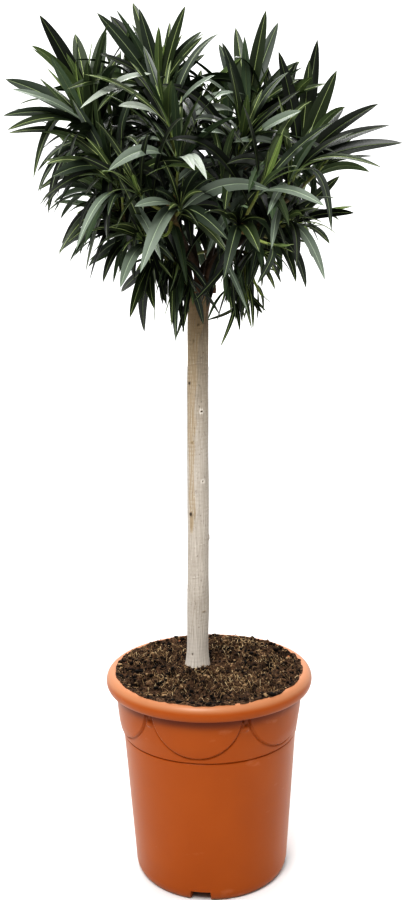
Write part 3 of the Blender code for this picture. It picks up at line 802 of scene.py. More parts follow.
trunk = build("stem_bark", points, faces, [bark_mat])
for name, values in (("dark", dark), ("tan", tan)):
    layer = trunk.data.attributes.new(name, "FLOAT", "POINT")
    layer.data.foreach_set("value", np.concatenate([values.ravel(), [0.0, 0.0]]).astype(np.float32))
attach(trunk, "root")
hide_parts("trunk")

# ---- Boughs -----------------------------------------------------------------------------------
# Nine smooth canes, finger-thin, one in the middle of the stem's head and eight in a ring round
# it. They rise from it and lean out into the crown. Their bark is olive brown, ringed with old
# leaf scars.

HUB = FORK + Vector((0.0, 0.0, 0.004))  # the point that the boughs' far ends point away from
BOUGH_RING = 0.0187            # radius of the ring that they grow from
BOUGH_FOOT = 0.0054            # a bough's radius at its foot
BOUGH_TIP = 0.0044             # and at its far end
BOUGH_COLLAR = 0.0034          # extra radius where the bough grows out of the head
COLLAR_HEIGHT = 0.016
BOUGH_SINK = 0.012             # how far it runs on down inside the head
SINK_POINTS = 8
BOUGH_RISE = 0.034             # how firmly it holds its direction at each end of its curve
BOUGH_REACH = 0.1147           # from the hub to its far end
BOUGH_POINTS = 110
BOUGH_SIDES = 24
SLOTS = 8                      # places in the ring, counted from +X towards the back
SCAR_HALF = 0.0016             # half the height of the ring that a leaf whorl leaves
UNEVEN = 0.00035               # a slow unevenness of the bark
UNEVEN_PITCH = 310.0           # radians per metre
# name: (centre of the mass that the bough feeds, place on the stem's head)
BOUGHS = {
    "left_top": ((-0.178, -0.015, 1.232), 5),
    "top_left": ((-0.060, 0.000, 1.262), "middle"),
    "top_right": ((0.085, 0.020, 1.228), 1),
    "right_top": ((0.188, -0.010, 1.150), 0),
    "left_mid": ((-0.172, -0.020, 1.108), 4),
    "front_left": ((-0.065, -0.160, 1.125), 6),
    "front_right": ((0.088, -0.160, 1.090), 7),
    "back_left": ((-0.095, 0.160, 1.145), 3),
    "back_right": ((0.098, 0.165, 1.125), 2),
}
UP = Vector((0.0, 0.0, 1.0))


def bezier(a, b, c, d, count):
    """Points along a cubic curve, as an array."""
    t = np.linspace(0.0, 1.0, count)[:, None]
    s = 1.0 - t
    a, b, c, d = (np.array(v) for v in (a, b, c, d))
    return a * s ** 3 + b * 3.0 * s * s * t + c * 3.0 * s * t * t + d * t ** 3


def bough_curve(name):
    """The four control points of a bough's curve, and its final direction."""
    centre, slot = BOUGHS[name]
    along = (Vector(centre) - HUB).normalized()
    foot = FORK.copy()
    if slot != "middle":
        angle = 2.0 * math.pi * slot / SLOTS
        foot += BOUGH_RING * Vector((math.cos(angle), math.sin(angle), 0.0))
    end = HUB + along * BOUGH_REACH
    return foot, foot + UP * BOUGH_RISE, end - along * BOUGH_RISE, end, along


def tube(path, radii, sides):
    """A round tube along a path, each ring square to it: points and quads."""
    path = np.asarray(path)
    run = np.gradient(path, axis=0)
    run /= np.linalg.norm(run, axis=1)[:, None]
    side = np.cross(run[0], (0.0, 0.0, 1.0) if abs(run[0][2]) < 0.9 else (1.0, 0.0, 0.0))
    rings = []
    ring_turn = np.arange(sides) * 2.0 * math.pi / sides
    for centre, forward, radius in zip(path, run, radii):
        side = side - forward * side.dot(forward)
        side /= np.linalg.norm(side)
        other = np.cross(forward, side)
        rings.append(centre + np.outer(np.cos(ring_turn) * radius, side)
                     + np.outer(np.sin(ring_turn) * radius, other))
    return np.vstack(rings), ring_faces(len(path), sides)


def scarred(path, radii, spacing, proud, seed):
    """Add a low raised ring, one leaf whorl's scar, at each spacing along a path of close points."""
    steps = np.linalg.norm(np.diff(path, axis=0), axis=1)
    travelled = np.concatenate([[0.0], np.cumsum(steps)])
    wander = random.Random(seed)
    place = wander.uniform(0.3, 0.9) * spacing
    while place < travelled[-1]:
        radii = radii + proud * np.exp(-((travelled - place) / SCAR_HALF) ** 2)
        place += spacing * wander.uniform(0.65, 1.3)
    return radii


# Cane bark: olive brown and mottled, darker and a little glossier than the stem; lighter and
# warmer at its foot, like the head it grows from.
cane_mat, tree, shader = plain_material("olive brown cane bark", Roughness=0.62, IOR=1.42)
spot = add(tree, "ShaderNodeTexCoord")
blotch = add(tree, "ShaderNodeTexNoise", {"Vector": (spot, "Object"), "Scale": waves(9.0), "Detail": 5.0})
fleck = add(tree, "ShaderNodeTexNoise", {"Vector": (spot, "Object"), "Scale": waves(1.5), "Detail": 3.0})
cane = add(tree, "ShaderNodeMix", {"Factor": blotch, "A": linear("#22180E"), "B": linear("#463726")},
           data_type="RGBA")
split = add(tree, "ShaderNodeSeparateXYZ", {"Vector": (spot, "Object")})
off_head = add(tree, "ShaderNodeMapRange", {"Value": (split, "Z"), "From Min": 0.962, "From Max": 1.020})
foot_up = add(tree, "ShaderNodeMix", {"Factor": off_head, "A": linear("#6B4F39"), "B": (cane, "Result")},
              data_type="RGBA")
tree.links.new(foot_up.outputs["Result"], shader.inputs["Base Color"])
bump = add(tree, "ShaderNodeBump", {"Height": fleck, "Strength": 0.35, "Distance": 0.0006})
tree.links.new(bump.outputs[0], shader.inputs["Normal"])

for number, name in enumerate(BOUGHS):
    foot, leave, arrive, end, along = bough_curve(name)
    path = bezier(foot, leave, arrive, end, BOUGH_POINTS)
    below = np.array(foot) - np.outer(np.linspace(BOUGH_SINK, 0.0, SINK_POINTS, endpoint=False), UP)
    path = np.vstack([below, path])
    t = np.concatenate([np.zeros(SINK_POINTS), np.linspace(0.0, 1.0, BOUGH_POINTS)])
    radii = BOUGH_FOOT + t * (BOUGH_TIP - BOUGH_FOOT)
    radii += BOUGH_COLLAR * np.clip(1.0 - (path[:, 2] - FORK.z) / COLLAR_HEIGHT, 0.0, 1.0) ** 2
    radii = scarred(path, radii, 0.017, 0.0005, 40 + number)
    points, faces = tube(path, radii, BOUGH_SIDES)
    points += UNEVEN * np.sin(points * UNEVEN_PITCH + number)[:, [1, 2, 0]]
    capped = np.vstack([points, path[:1], path[-1:]])
    row = np.arange(BOUGH_SIDES)
    caps = np.vstack([cap_faces(row[::-1], len(points)),
                      cap_faces(row + (len(path) - 1) * BOUGH_SIDES, len(points) + 1)])
    bough = build(f"cane_{name}", capped, [faces, caps], [cane_mat])
    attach(bough, "root")
    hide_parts(f"bough_{name}")

# ---- Twigs and leaves -------------------------------------------------------------------------
# Each bough runs on into its part of the crown and forks into thinner shoots. Each shoot ends in
# a rosette of long leaves in whorls of three: the young ones stand up round the tip, pale ribbed
# and bright; the older ones spread, arch and droop; below them the shoot is bare.

# Every leaf's midline lies inside this box.
BOX_LOW = np.array([-0.314, -0.312, 0.868])
BOX_HIGH = np.array([0.317, 0.312, 1.402])
# The crown's outline by height: height and radius in millimetres. Leaves are drawn in or left out
# where they would pass it.
OUTLINE = np.array([
    (880, 70), (944, 115), (975, 160), (1020, 200), (1080, 235), (1140, 265), (1200, 290),
    (1275, 275), (1335, 215), (1375, 140), (1400, 100),
]) / 1000.0
CROWN_MIDDLE_X = -0.016        # the outline's axis
# Between the leading rosettes the crown dips. Place from side to side and its top, in millimetres.
CEILING = np.array([
    (-330, 1200), (-300, 1255), (-260, 1305), (-200, 1320), (-170, 1300), (-130, 1345), (-80, 1360),
    (-30, 1330), (0, 1290), (20, 1300), (60, 1335), (100, 1340), (130, 1300), (160, 1275),
    (180, 1290), (220, 1240), (260, 1205), (310, 1165),
]) / 1000.0
CROWN_LOW = 0.895              # no leaf of a whorl hangs under this
# Open places at the crown's edge, with no leaf in them: place from side to side, height and
# radius, in millimetres.
OPEN_PLACES = np.array([
    (23, 1303, 14), (198, 1225, 14), (222, 1136, 15), (253, 1135, 14), (168, 1000, 16),
    (-115, 958, 11), (-233, 1162, 12), (-263, 1191, 10), (-206, 1078, 8), (-234, 1058, 12),
]) / 1000.0

# Masses of the crown that a limb feeds from partway along a bough: (bough, share along it, centre).
LIMBS = {
    "right_mid": ("right_top", 0.9, (0.148, 0.010, 1.040)),
    "right_low": ("right_top", 0.5, (0.088, -0.025, 0.962)),
    "left_low": ("left_mid", 0.5, (-0.104, -0.020, 1.000)),
    "back_low": ("back_right", 0.6, (0.005, 0.128, 1.006)),
}
# Every other mass has a bough of its own name, which runs on into it.
MASSES = {name: LIMBS[name] if name in LIMBS else (name, 1.0, BOUGHS[name][0]) for name in (
    "left_top", "top_left", "top_right", "right_top", "right_mid", "right_low", "left_mid", "left_low",
    "front_left", "front_right", "back_left", "back_right", "back_low")}
PAINTED_SHEEN = 6                       # rows of LEAF_TINTS: a leaf whose pale tint is a painted sheen of the sky
PAINTED_REFLECTION = 7                     # and one whose near-white tint is a painted reflection of the sky
# Shoots: mass, tip, and the tips of leaves that stand out, some tinted with a painted sheen of the sky and a
# few with a painted reflection of it. Tips are in millimetres. A last number makes a weak shoot smaller and
# sparser.
SHOOTS = [
    ("left_top", (-169, -15, 1241),
     [(-232, -60, 1356), (-196, 60, 1362), (-147, 50, 1366), (-250, -60, 1125), (-70, -100, 1262, PAINTED_REFLECTION),
      (-118, -20, 1312)]),
    ("left_top", (-174, -40, 1216),
     [(-301, 20, 1286), (-285, -90, 1210), (-278, -100, 1188), (-267, -110, 1242, PAINTED_SHEEN)]),
    ("left_top", (-140, 75, 1225), []),
    ("left_top", (-135, -75, 1140), [(-203, -190, 1109), (-225, -140, 1085)]),
    ("top_left", (-63, 0, 1273),
     [(-150, -45, 1362), (-139, 50, 1385), (-102, 30, 1398), (-88, -40, 1368), (-20, -50, 1368),
      (10, 70, 1364), (-170, -120, 1212, PAINTED_REFLECTION), (-150, -70, 1300), (5, -60, 1322), (4, -30, 1338),
      (8, 20, 1318), (-2, -50, 1298), (-120, 60, 1325), (-190, -100, 1243), (-30, -20, 1352),
      (-139, -20, 1352)]),
    ("top_left", (-52, -85, 1215), [(-110, -190, 1200, PAINTED_REFLECTION), (20, -180, 1240, PAINTED_SHEEN)]),
    ("top_left", (-60, 85, 1245), []),
    ("top_left", (-112, 50, 1255), [(-165, 20, 1318), (-120, 80, 1338)], 0.90),
    ("top_left", (-12, 40, 1228), [(2, 60, 1305), (42, 10, 1254)], 0.90),
    ("top_right", (72, 20, 1226),
     [(99, -30, 1366), (124, 60, 1374), (57, 60, 1367), (33, -50, 1316), (31, 90, 1351), (160, 80, 1320),
      (146, -50, 1262), (186, -50, 1256), (-22, -104, 1189, PAINTED_REFLECTION), (0, -60, 1268, PAINTED_SHEEN)]),
    ("top_right", (60, -75, 1175), [(135, -190, 1190, PAINTED_SHEEN), (0, -190, 1165, PAINTED_SHEEN)]),
    ("top_right", (90, 95, 1205), []),
    ("top_right", (118, 30, 1215), [(150, 20, 1306), (95, 50, 1322), (170, 50, 1290)], 0.90),
    ("right_top", (152, -10, 1155),
     [(180, 10, 1334), (200, -60, 1272), (228, 60, 1244), (258, -80, 1220), (298, 40, 1212),
      (298, -60, 1168), (264, -80, 1130), (45, -128, 1161, PAINTED_SHEEN), (35, -118, 1113, PAINTED_SHEEN),
      (186, -114, 1038), (162, -40, 1292), (115, -60, 1300)]),
    ("right_top", (185, 75, 1150), []),
    ("right_top", (130, -100, 1120), [(90, -170, 1056, PAINTED_SHEEN)]),
    ("right_mid", (154, 10, 1064), [(205, -60, 1122), (227, -60, 1068), (188, -80, 1022)]),
    ("right_mid", (113, 0, 1036), [(153, -80, 958), (138, -80, 967)]),
    ("right_mid", (140, 85, 1070), []),
    ("right_mid", (125, -80, 1060), [(130, -170, 985), (171, -160, 967, PAINTED_SHEEN)]),
    ("right_low", (63, -25, 962), [(86, -90, 922), (90, -60, 921)], 0.60),
    ("right_low", (46, -50, 928), [(24, -90, 873), (53, -100, 897)], 0.45),
    ("right_low", (60, 10, 930), [(78, 50, 897), (3, 30, 912)], 0.45),
    ("right_low", (70, -70, 942), [(72, -110, 899), (92, -100, 925)], 0.40),
    ("right_low", (92, 0, 950), [(96, 30, 924)], 0.50),
    ("right_low", (88, -50, 995), [], 0.75),
    ("left_mid", (-149, -20, 1158), [(-263, 60, 1124), (-232, -80, 1080)]),
    ("left_mid", (-138, -30, 1103), [(-212, -90, 1012), (-200, 60, 1020), (-228, 50, 1036)]),
    ("left_mid", (-160, 70, 1130), []),
    ("left_mid", (-168, -10, 1190),
     [(-246, -50, 1107), (-256, 20, 1111), (-238, -10, 1080), (-230, -60, 1074)], 0.95),
    ("left_mid", (-148, 10, 1075), [(-212, -40, 1026), (-185, 20, 1021), (-225, 0, 1022)], 0.90),
    ("left_mid", (-118, -105, 1110), [(-173, -190, 1012, PAINTED_SHEEN)]),
    ("left_low", (-105, -30, 1049), [(-186, 50, 1000), (-146, -110, 970)]),
    ("left_low", (-76, -20, 988), [(-135, 70, 960), (-110, -90, 918), (-98, 60, 894), (-72, -100, 930)]),
    ("left_low", (-36, -35, 976), [(-41, -120, 882), (-47, -110, 905), (-30, -60, 893)], 0.45),
    ("left_low", (-85, -90, 1030), [(-115, -180, 960, PAINTED_SHEEN)]),
    ("front_left", (-33, -130, 1149),
     [(-9, -260, 1105, PAINTED_REFLECTION), (7, -252, 1094, PAINTED_REFLECTION), (-121, -250, 1107, PAINTED_SHEEN)]),
    ("front_left", (-31, -140, 1074),
     [(-87, -260, 1061, PAINTED_SHEEN), (-82, -255, 977, PAINTED_SHEEN), (33, -250, 1018)]),
    ("front_left", (-90, -150, 1095), []),
    ("front_left", (-55, -175, 1030), []),
    ("front_right", (52, -140, 1048), [(27, -250, 967), (74, -255, 1001)]),
    ("front_right", (85, -155, 1100), [(160, -240, 1060, PAINTED_SHEEN)]),
    ("front_right", (30, -110, 1120), []),
    ("front_right", (34, -105, 990), [(-14, -160, 940), (62, -170, 925, PAINTED_SHEEN)], 0.70),
    ("front_right", (100, -120, 1020), [(74, -190, 962)]),
    ("back_left", (-130, 165, 1165), []),
    ("back_left", (-70, 195, 1180), []),
    ("back_left", (-30, 130, 1195), []),
    ("back_left", (-155, 125, 1095), []),
    ("back_left", (-80, 195, 1090), []),
    ("back_left", (-110, 100, 1040), []),
    ("back_left", (-35, 175, 1125), []),
    ("back_right", (35, 170, 1185), []),
    ("back_right", (95, 195, 1165), []),
    ("back_right", (155, 150, 1130), []),
    ("back_right", (45, 105, 1215), []),
    ("back_right", (110, 195, 1080), []),
    ("back_right", (160, 120, 1060), []),
    ("back_low", (10, 165, 1060), []),
    ("back_low", (-55, 135, 1010), []),
    ("back_low", (65, 145, 1010), []),
    ("back_low", (5, 80, 985), []),
    ("left_low", (-50, -35, 993), [(-65, -60, 968), (-55, -30, 951)], 0.45),
    ("left_low", (-77, -60, 1001), [(-96, -90, 965), (-60, -80, 970)], 0.42),
    ("left_low", (-31, -70, 1000), [(-49, -100, 955), (-11, -100, 954)], 0.45),
    ("left_low", (-71, 30, 1030), [(-132, 20, 996), (-86, 40, 962)], 0.55),
    ("left_top", (-176, -30, 1202), [(-246, -50, 1136), (-242, -20, 1174), (-285, -60, 1191)], 0.60),
    ("right_mid", (89, -60, 1013), [(65, -80, 954), (116, -80, 966), (89, -50, 964)], 0.60),
    ("top_left", (-54, 20, 1308), [(-45, 30, 1369), (-26, 0, 1343), (-38, -20, 1343)], 0.55),
    ("right_top", (206, 20, 1172), [(266, 0, 1159), (252, -30, 1166)], 0.45),
    ("left_low", (-20, -45, 968), [(-33, -55, 894), (-43, -50, 886), (-52, -40, 911)], 0.50),
    ("right_low", (37, -60, 969), [(49, -70, 910), (34, -80, 937), (42, -50, 922), (55, -60, 948)], 0.45),
]

rng = random.Random(77)
# The last two rows are painted light: a painted sheen of the sky and a painted reflection of it.
# name, upper side, under side, rib above, rib below
LEAF_TINTS = [
    ("deep", "#0A1006", "#2C3A24", "#47522F", "#465232"),
    ("dark", "#10160B", "#33422B", "#5F6B44", "#505C3E"),
    ("grey green", "#2A3327", "#4A5943", "#7C8764", "#667252"),
    ("mid", "#2A341E", "#4A583A", "#929D6C", "#6F7C55"),
    ("young", "#455034", "#5E6E45", "#A6AF7C", "#87945F"),
    ("tender", "#586840", "#6C7E46", "#B0BA86", "#94A168"),
    ("sheen", "#646D61", "#5E6C5A", "#98A48E", "#7D8B6F"),
    ("silver", "#8C9288", "#6F7B6B", "#A6AD9D", "#8F9B80"),
]
LEAF_PARTS = (("blade", 0.38), ("underside", 0.55), ("midrib", 0.45), ("keel", 0.55))  # roughness
# Oleander leaf: leathery, waxy and dark above, paler and matter below, with a pale midrib. The
# side veins, a millimetre apart, are drawn as a coarser grain that just roughens the shine.
leaf_mats = []
for name, *tints in LEAF_TINTS:
    for (part, matt), tint in zip(LEAF_PARTS, tints):
        mat, tree, shader = plain_material(f"{name} leaf {part}", Base_Color=linear(tint),
                                           Roughness=matt, IOR=1.40)
        spot = add(tree, "ShaderNodeTexCoord")
        veins = add(tree, "ShaderNodeTexNoise",
                    {"Vector": (spot, "Object"), "Scale": waves(2.0), "Detail": 2.0})
        bump = add(tree, "ShaderNodeBump", {"Height": veins, "Strength": 0.18, "Distance": 0.0004})
        tree.links.new(bump.outputs[0], shader.inputs["Normal"])
        leaf_mats.append(mat)

# A leaf's section, round from its left edge over the top: place in half widths, place in rib
# widths, and height in blade thicknesses. The midrib is a groove above and a keel below.
SECTION = np.array([
    (-1.0, 0, 0.0), (-0.5, 0, 1.0), (0, -1.0, 1.0), (0, 0.0, 0.2), (0, 1.0, 1.0), (0.5, 0, 1.0),
    (1.0, 0, 0.0), (0.5, 0, -1.0), (0, 1.0, -1.2), (0, 0.0, -3.2), (0, -1.0, -1.2), (-0.5, 0, -1.0),
])
FACE_PART = [0, 0, 2, 2, 0, 0, 1, 1, 3, 3, 1, 1]  # rows of LEAF_PARTS round the section
LEAF_STEPS = 13
LEAF_HALF_WIDTH = 0.0098       # metres
RIB_HALF = 0.00076
BLADE_HALF_THICK = 0.00030
LEAST_HALF = 0.00012           # half the width of its very tip
STALK = 0.07                   # share of the leaf's length that is stalk
STALK_HALF = 0.0013
STALK_THICK = 0.0006           # how much thicker the stalk is than the blade
OUTLINE_PEAK = 0.3825          # the widest value of the blade's curve, before its middle
leaf_share = np.linspace(0.0, 1.0, LEAF_STEPS + 1) ** 0.92  # rows, closer together at the tip
leaf_blade = np.clip((leaf_share - STALK) / (1.0 - STALK), 0.0, 1.0)
LEAF_OUTLINE = leaf_blade ** 0.62 * (1.0 - leaf_blade) ** 0.78 / OUTLINE_PEAK
index = np.arange((LEAF_STEPS + 1) * len(SECTION)).reshape(LEAF_STEPS + 1, -1)
right = np.roll(index, -1, axis=1)
LEAF_FACES = np.stack([index[:-1], index[1:], right[1:], right[:-1]], axis=-1).reshape(-1, 4)
DOWN = np.array([0.0, 0.0, -1.0])


def unit(v):
    """The vector at a length of 1."""
    return v / max(1e-9, np.linalg.norm(v))


def leaf(spine, across, half_width, fold, tint, twist):
    """A leaf's points, quads and material indices. Its width lies along across, and its two halves
    rise from the midrib by the fold; it twists round its spine towards its tip."""
    run = np.gradient(spine, axis=0)
    run /= np.linalg.norm(run, axis=1)[:, None]
    side = across - run * (run @ across)[:, None]
    side /= np.linalg.norm(side, axis=1)[:, None]
    over = np.cross(run, side)
    rolled = twist * leaf_share[:, None]
    side, over = (side * np.cos(rolled) + over * np.sin(rolled),
                  over * np.cos(rolled) - side * np.sin(rolled))
    half = np.maximum(LEAF_OUTLINE * half_width, LEAST_HALF)
    rib = np.minimum(RIB_HALF * (1.0 - 0.65 * leaf_share), half * 0.6)
    stalk = np.clip(1.0 - leaf_share / (STALK * 1.5), 0.0, 1.0)
    half = np.maximum(half, STALK_HALF * stalk)
    u = SECTION[None, :, 0] * half[:, None] + SECTION[None, :, 1] * rib[:, None]
    thick = BLADE_HALF_THICK * (0.5 + 0.5 * (1.0 - leaf_share)) + STALK_THICK * stalk
    # The last 7% of its length thins to a point.
    tapered = 1.0 - np.clip(leaf_share - 0.93, 0.0, 0.07) / 0.07 * 0.85
    folded = np.abs(u) * math.tan(fold) * (1.0 - 0.5 * leaf_share[:, None])
    v = SECTION[None, :, 2] * (thick * tapered)[:, None] + folded
    points = spine[:, None, :] + u[:, :, None] * side[:, None, :] + v[:, :, None] * over[:, None, :]
    choice = np.tile(np.array(FACE_PART) + tint * len(LEAF_PARTS), LEAF_STEPS)
    return points.reshape(-1, 3), LEAF_FACES, choice


def leaf_spine(base, start, outward, length, droop):
    """A leaf's midline: it leaves along start, bends outward, and then gives way under its weight."""
    points = [base]
    for i, step in enumerate(np.diff(leaf_share)):
        s = (leaf_share[i] + leaf_share[i + 1]) / 2.0
        way = unit(start + outward * 0.35 * s + DOWN * droop * s ** 1.3)
        points.append(points[-1] + way * step * length)
    return np.array(points)


def keep_inside(spine):
    """Draw a midline in towards its base until it lies inside the crown's box."""
    for _ in range(12):
        if (spine > BOX_LOW).all() and (spine < BOX_HIGH).all():
            return spine
        spine = spine[0] + (spine - spine[0]) * 0.93
    return spine


def shaped(spine):
    """Draw a midline in to the crown's ragged outline, or give None where too little would be left
    or where it would cross an open place."""
    for gap_x, gap_z, gap in OPEN_PLACES:
        if np.hypot(spine[3:, 0] - gap_x, spine[3:, 2] - gap_z).min() < gap:
            return None
    out = np.hypot(spine[:, 0] - CROWN_MIDDLE_X, spine[:, 1])
    past = (out / np.interp(spine[:, 2], *OUTLINE.T)).max() / rng.uniform(0.78, 1.02)
    above = (spine[:, 2] - np.interp(spine[:, 0], *CEILING.T)).max()
    if spine[:, 2].min() < CROWN_LOW or past > 1.32 or above > 0.030:
        return None
    if past > 1.0:
        spine = spine[0] + (spine - spine[0]) * (1.0 - 0.9 * (past - 1.0))
    return keep_inside(spine)


def pick_tint(whorl):
    """A leaf's row of LEAF_TINTS: bright in the young whorls, and mostly dark in the old ones."""
    if whorl < 2:
        return rng.choices((3, 4, 5), (3, 5, 2))[0]
    if whorl < 4:
        return rng.choices((1, 2, 3, 4), (3, 3, 4, 2))[0]
    # Some old leaves take row 6, a painted sheen of the sky.
    return rng.choices((0, 1, 2, 3, 6), (7, 6, 4, 2, 2))[0]


TWIG_SIDES = 9
LIMB_POINTS = 40
LIMB_HALF = 0.0042             # radius of a limb that forks off a bough
LIMB_TIP = 0.0036
twig_parts = {name: [] for name in MASSES}
leaf_parts = {name: [] for name in MASSES}
fed_from = {}
for name, (feeder, share_along, centre) in MASSES.items():
    # The bough runs on into its mass, or a limb forks off the neighbouring bough. It ends nearly
    # halfway to the middle of the mass.
    foot, leave, arrive, end, along = bough_curve(feeder)
    path = bezier(foot, leave, arrive, end, 101)
    at = int(100 * share_along)
    start = path[at]
    way = unit(path[at] - path[at - 1])
    inner = np.array(centre) * 0.45 + start * 0.55
    toward = unit(np.array(centre) - start)
    limb = bezier(start - way * 0.004, start + way * 0.03, inner - toward * 0.02, inner, LIMB_POINTS)
    thick = LIMB_HALF if name in LIMBS else BOUGH_TIP
    radii = scarred(limb, np.linspace(thick, LIMB_TIP, LIMB_POINTS), 0.014, 0.0004, len(name))
    twig_parts[name].append(tube(limb, radii, TWIG_SIDES + 3) + (rng.choice((0, 1)),))
    fed_from[name] = limb

# Twig bark: two browns for the woody base, greener and smoother towards the growing tip.
young_mats = []
for tint, matt in (("#6B5A3A", 0.62), ("#55492F", 0.65), ("#6F7240", 0.5), ("#7F8A4A", 0.45)):
    mat, tree, shader = plain_material(f"twig bark {tint[1:]}", Base_Color=linear(tint),
                                       Roughness=matt, IOR=1.42)
    spot = add(tree, "ShaderNodeTexCoord")
    fleck = add(tree, "ShaderNodeTexNoise", {"Vector": (spot, "Object"), "Scale": waves(1.5), "Detail": 2.0})
    bump = add(tree, "ShaderNodeBump", {"Height": fleck, "Strength": 0.3, "Distance": 0.0005})
    tree.links.new(bump.outputs[0], shader.inputs["Normal"])
    young_mats.append(mat)

# Whorls down a shoot: distance from its tip, lean from the shoot (degrees), leaf length, droop,
# and the share of its leaves that are still on.
WHORLS = [
    (0.002, 6, 0.045, 0.00, 1.0), (0.005, 13, 0.088, 0.03, 1.0), (0.012, 22, 0.128, 0.10, 1.0),
    (0.024, 34, 0.156, 0.60, 1.0), (0.040, 48, 0.172, 1.40, 0.95), (0.060, 60, 0.180, 2.25, 0.90),
    (0.082, 70, 0.180, 3.00, 0.80), (0.106, 80, 0.172, 3.60, 0.65), (0.132, 90, 0.156, 4.00, 0.45),
]
LEAF_FOOT = 0.0012             # a leaf starts this far off the shoot's middle line
AIMED_FROM = (0.006, 0.030)    # and one that stands out starts this far under the shoot's tip
FACING_SKY = np.array([0.0, -0.8, 0.6])
FACING_FRONT = np.array([0.0, -0.90, 0.1])
CROWN_MIDDLE = np.array([-0.004, 0.0, 1.05])
SHOOT_POINTS = 60
SHOOT_HALF = 0.0034            # radius where a shoot leaves its limb
SHOOT_TIP = 0.0017
WOODY = 26                     # rows of a shoot that are brown
GREENING = 44                  # and the row where its green tip starts
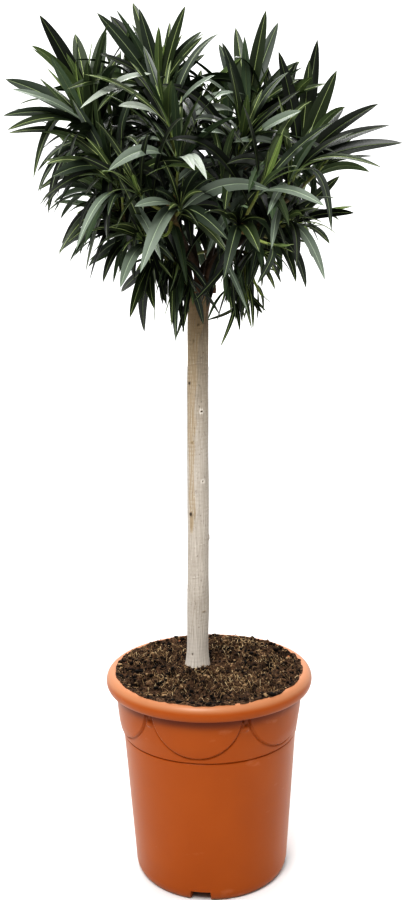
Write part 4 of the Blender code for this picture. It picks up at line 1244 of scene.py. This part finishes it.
for number, (name, tip, aims, *small) in enumerate(SHOOTS):
    # A shoot leaves its limb near the point 120 mm behind its tip. It curves outwards, and the
    # higher it is in the crown, the more it turns up.
    tip = np.array(tip) / 1000.0
    limb = fed_from[name]
    out = unit(tip - CROWN_MIDDLE)
    away = unit(tip - limb[18])
    rising = np.interp(tip[2], (0.95, 1.05, 1.22), (-0.10, 0.20, 0.90))
    axis = unit(0.40 * out + 0.4 * away + np.array([0.0, 0.0, rising]))
    axis = unit(axis + 0.10 * np.array([rng.gauss(0, 1), rng.gauss(0, 1), rng.gauss(0, 1)]))
    near = int(np.argmin(np.linalg.norm(limb - (tip - axis * 0.12), axis=1)))
    near = max(8, near - 4)
    start = limb[near]
    way = unit(limb[near] - limb[near - 1])
    reach = np.linalg.norm(tip - start)
    path = bezier(start, start + way * reach * 0.3 + away * 0.01, tip - axis * reach * 0.45, tip,
                  SHOOT_POINTS)
    radii = np.linspace(SHOOT_HALF, SHOOT_TIP, SHOOT_POINTS)
    radii = scarred(path, radii, 0.013, 0.00035, 200 + number)
    points, faces = tube(path, radii, TWIG_SIDES)
    rows = np.arange(SHOOT_POINTS - 1)
    tone = np.where(rows < WOODY, number % 2, np.where(rows < GREENING, 2, 3))
    twig_parts[name].append((points, faces, np.repeat(tone, TWIG_SIDES)))

    # Distance from the tip of each of the path's points, for the leaves.
    steps = np.linalg.norm(np.diff(path, axis=0), axis=1)
    from_tip = np.concatenate([np.cumsum(steps[::-1])[::-1], [0.0]])
    fullness = small[0] if small else 1.0
    vigour = rng.uniform(0.88, 1.08) * fullness

    # The leaves that stand out arch from near the shoot's tip to tips of their own: one that
    # hangs arches more, and one in line with the shoot less. Their upper sides turn to the front.
    for target in aims:
        at = int(np.argmin(np.abs(from_tip - rng.uniform(*AIMED_FROM))))
        base = path[at]
        chord = np.array(target[:3]) / 1000.0 - base
        reach = np.linalg.norm(chord)
        steep = (axis @ chord) / reach
        in_line = max(0.0, steep)
        hang = max(0.0, -chord[2] / reach)
        rise = unit(axis + np.array([0.0, 0.0, 0.6]) - chord / reach * steep)
        bow = reach * (0.125 - 0.085 * in_line + 0.11 * hang) * rng.uniform(0.8, 1.2)
        s = leaf_share[:, None]
        spine = keep_inside(base + chord * s + rise * bow * 4.0 * s * (1.0 - s) * (1.2 - 0.4 * s))
        # A leaf with a tint of its own carries the painted sheen of the sky, or its painted reflection, and
        # faces up towards it.
        tint = target[3] if len(target) > 3 else rng.choices((1, 2, 3), (3, 3, 4))[0]
        facing = FACING_SKY if len(target) > 3 else 0.45 * axis + FACING_FRONT
        broad = 1.0 + 0.25 * in_line
        half = LEAF_HALF_WIDTH * broad * rng.uniform(0.80, 1.04) * min(1.1, 0.10 + 6.0 * reach)
        half *= min(1.0, 0.3 + 0.7 * vigour) * (1.0 - 0.15 * hang)
        fold = math.radians(rng.uniform(8, 20))
        twist = math.radians(rng.uniform(-25, 25))
        leaf_parts[name].append(leaf(spine, unit(np.cross(facing, chord)), half, fold, tint, twist))

    # Whorls of three leaves, each turned against the last. Low in the crown they droop more.
    first_turn = rng.uniform(0.0, 2.0 * math.pi)
    low_droop = np.interp(tip[2], (1.00, 1.20), (0.90, 0.0))
    for whorl, (down, lean, length, droop, still_on) in enumerate(WHORLS):
        if down * vigour > 0.92 * from_tip[0]:
            break
        at = int(np.argmin(np.abs(from_tip - down * vigour)))
        forward = unit(path[min(at + 1, SHOOT_POINTS - 1)] - path[max(at - 1, 0)])
        sideways = unit(np.cross(forward, (0.2, 0.9, 0.1)))
        upways = np.cross(sideways, forward)
        for k in range(3):
            if rng.random() > still_on * fullness:
                continue
            spin = first_turn + whorl * math.pi / 3.0 + k * 2.0 * math.pi / 3.0 + rng.gauss(0, 0.10)
            outward = sideways * math.cos(spin) + upways * math.sin(spin)
            tilt = math.radians(lean + rng.gauss(0, 6))
            launch = forward * math.cos(tilt) + outward * math.sin(tilt)
            size = length * vigour * rng.uniform(0.88, 1.08)
            give = (droop + low_droop * (whorl > 0)) * rng.uniform(0.6, 1.5)
            base = path[at] + outward * LEAF_FOOT
            spine = shaped(leaf_spine(base, launch, outward, size, give))
            if spine is None:
                continue
            across = unit(np.cross(forward, outward))
            size = np.linalg.norm(np.diff(spine, axis=0), axis=1).sum()
            half = LEAF_HALF_WIDTH * min(1.05, 0.04 + 6.2 * size) * rng.uniform(0.66, 1.12)
            fold = math.radians(rng.uniform(8, 26))
            tint = pick_tint(whorl)
            twist = math.radians(rng.gauss(0, 16))
            leaf_parts[name].append(leaf(spine, across, half, fold, tint, twist))

for name in MASSES:
    twigs = joined(f"twigs_{name}", twig_parts[name], young_mats)
    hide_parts(f"foliage_{name}")
    leaves = joined(f"leaves_{name}", leaf_parts[name], leaf_mats)
    leaves.data.set_sharp_from_angle(angle=math.radians(50.0))
    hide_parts(f"foliage_{name}")
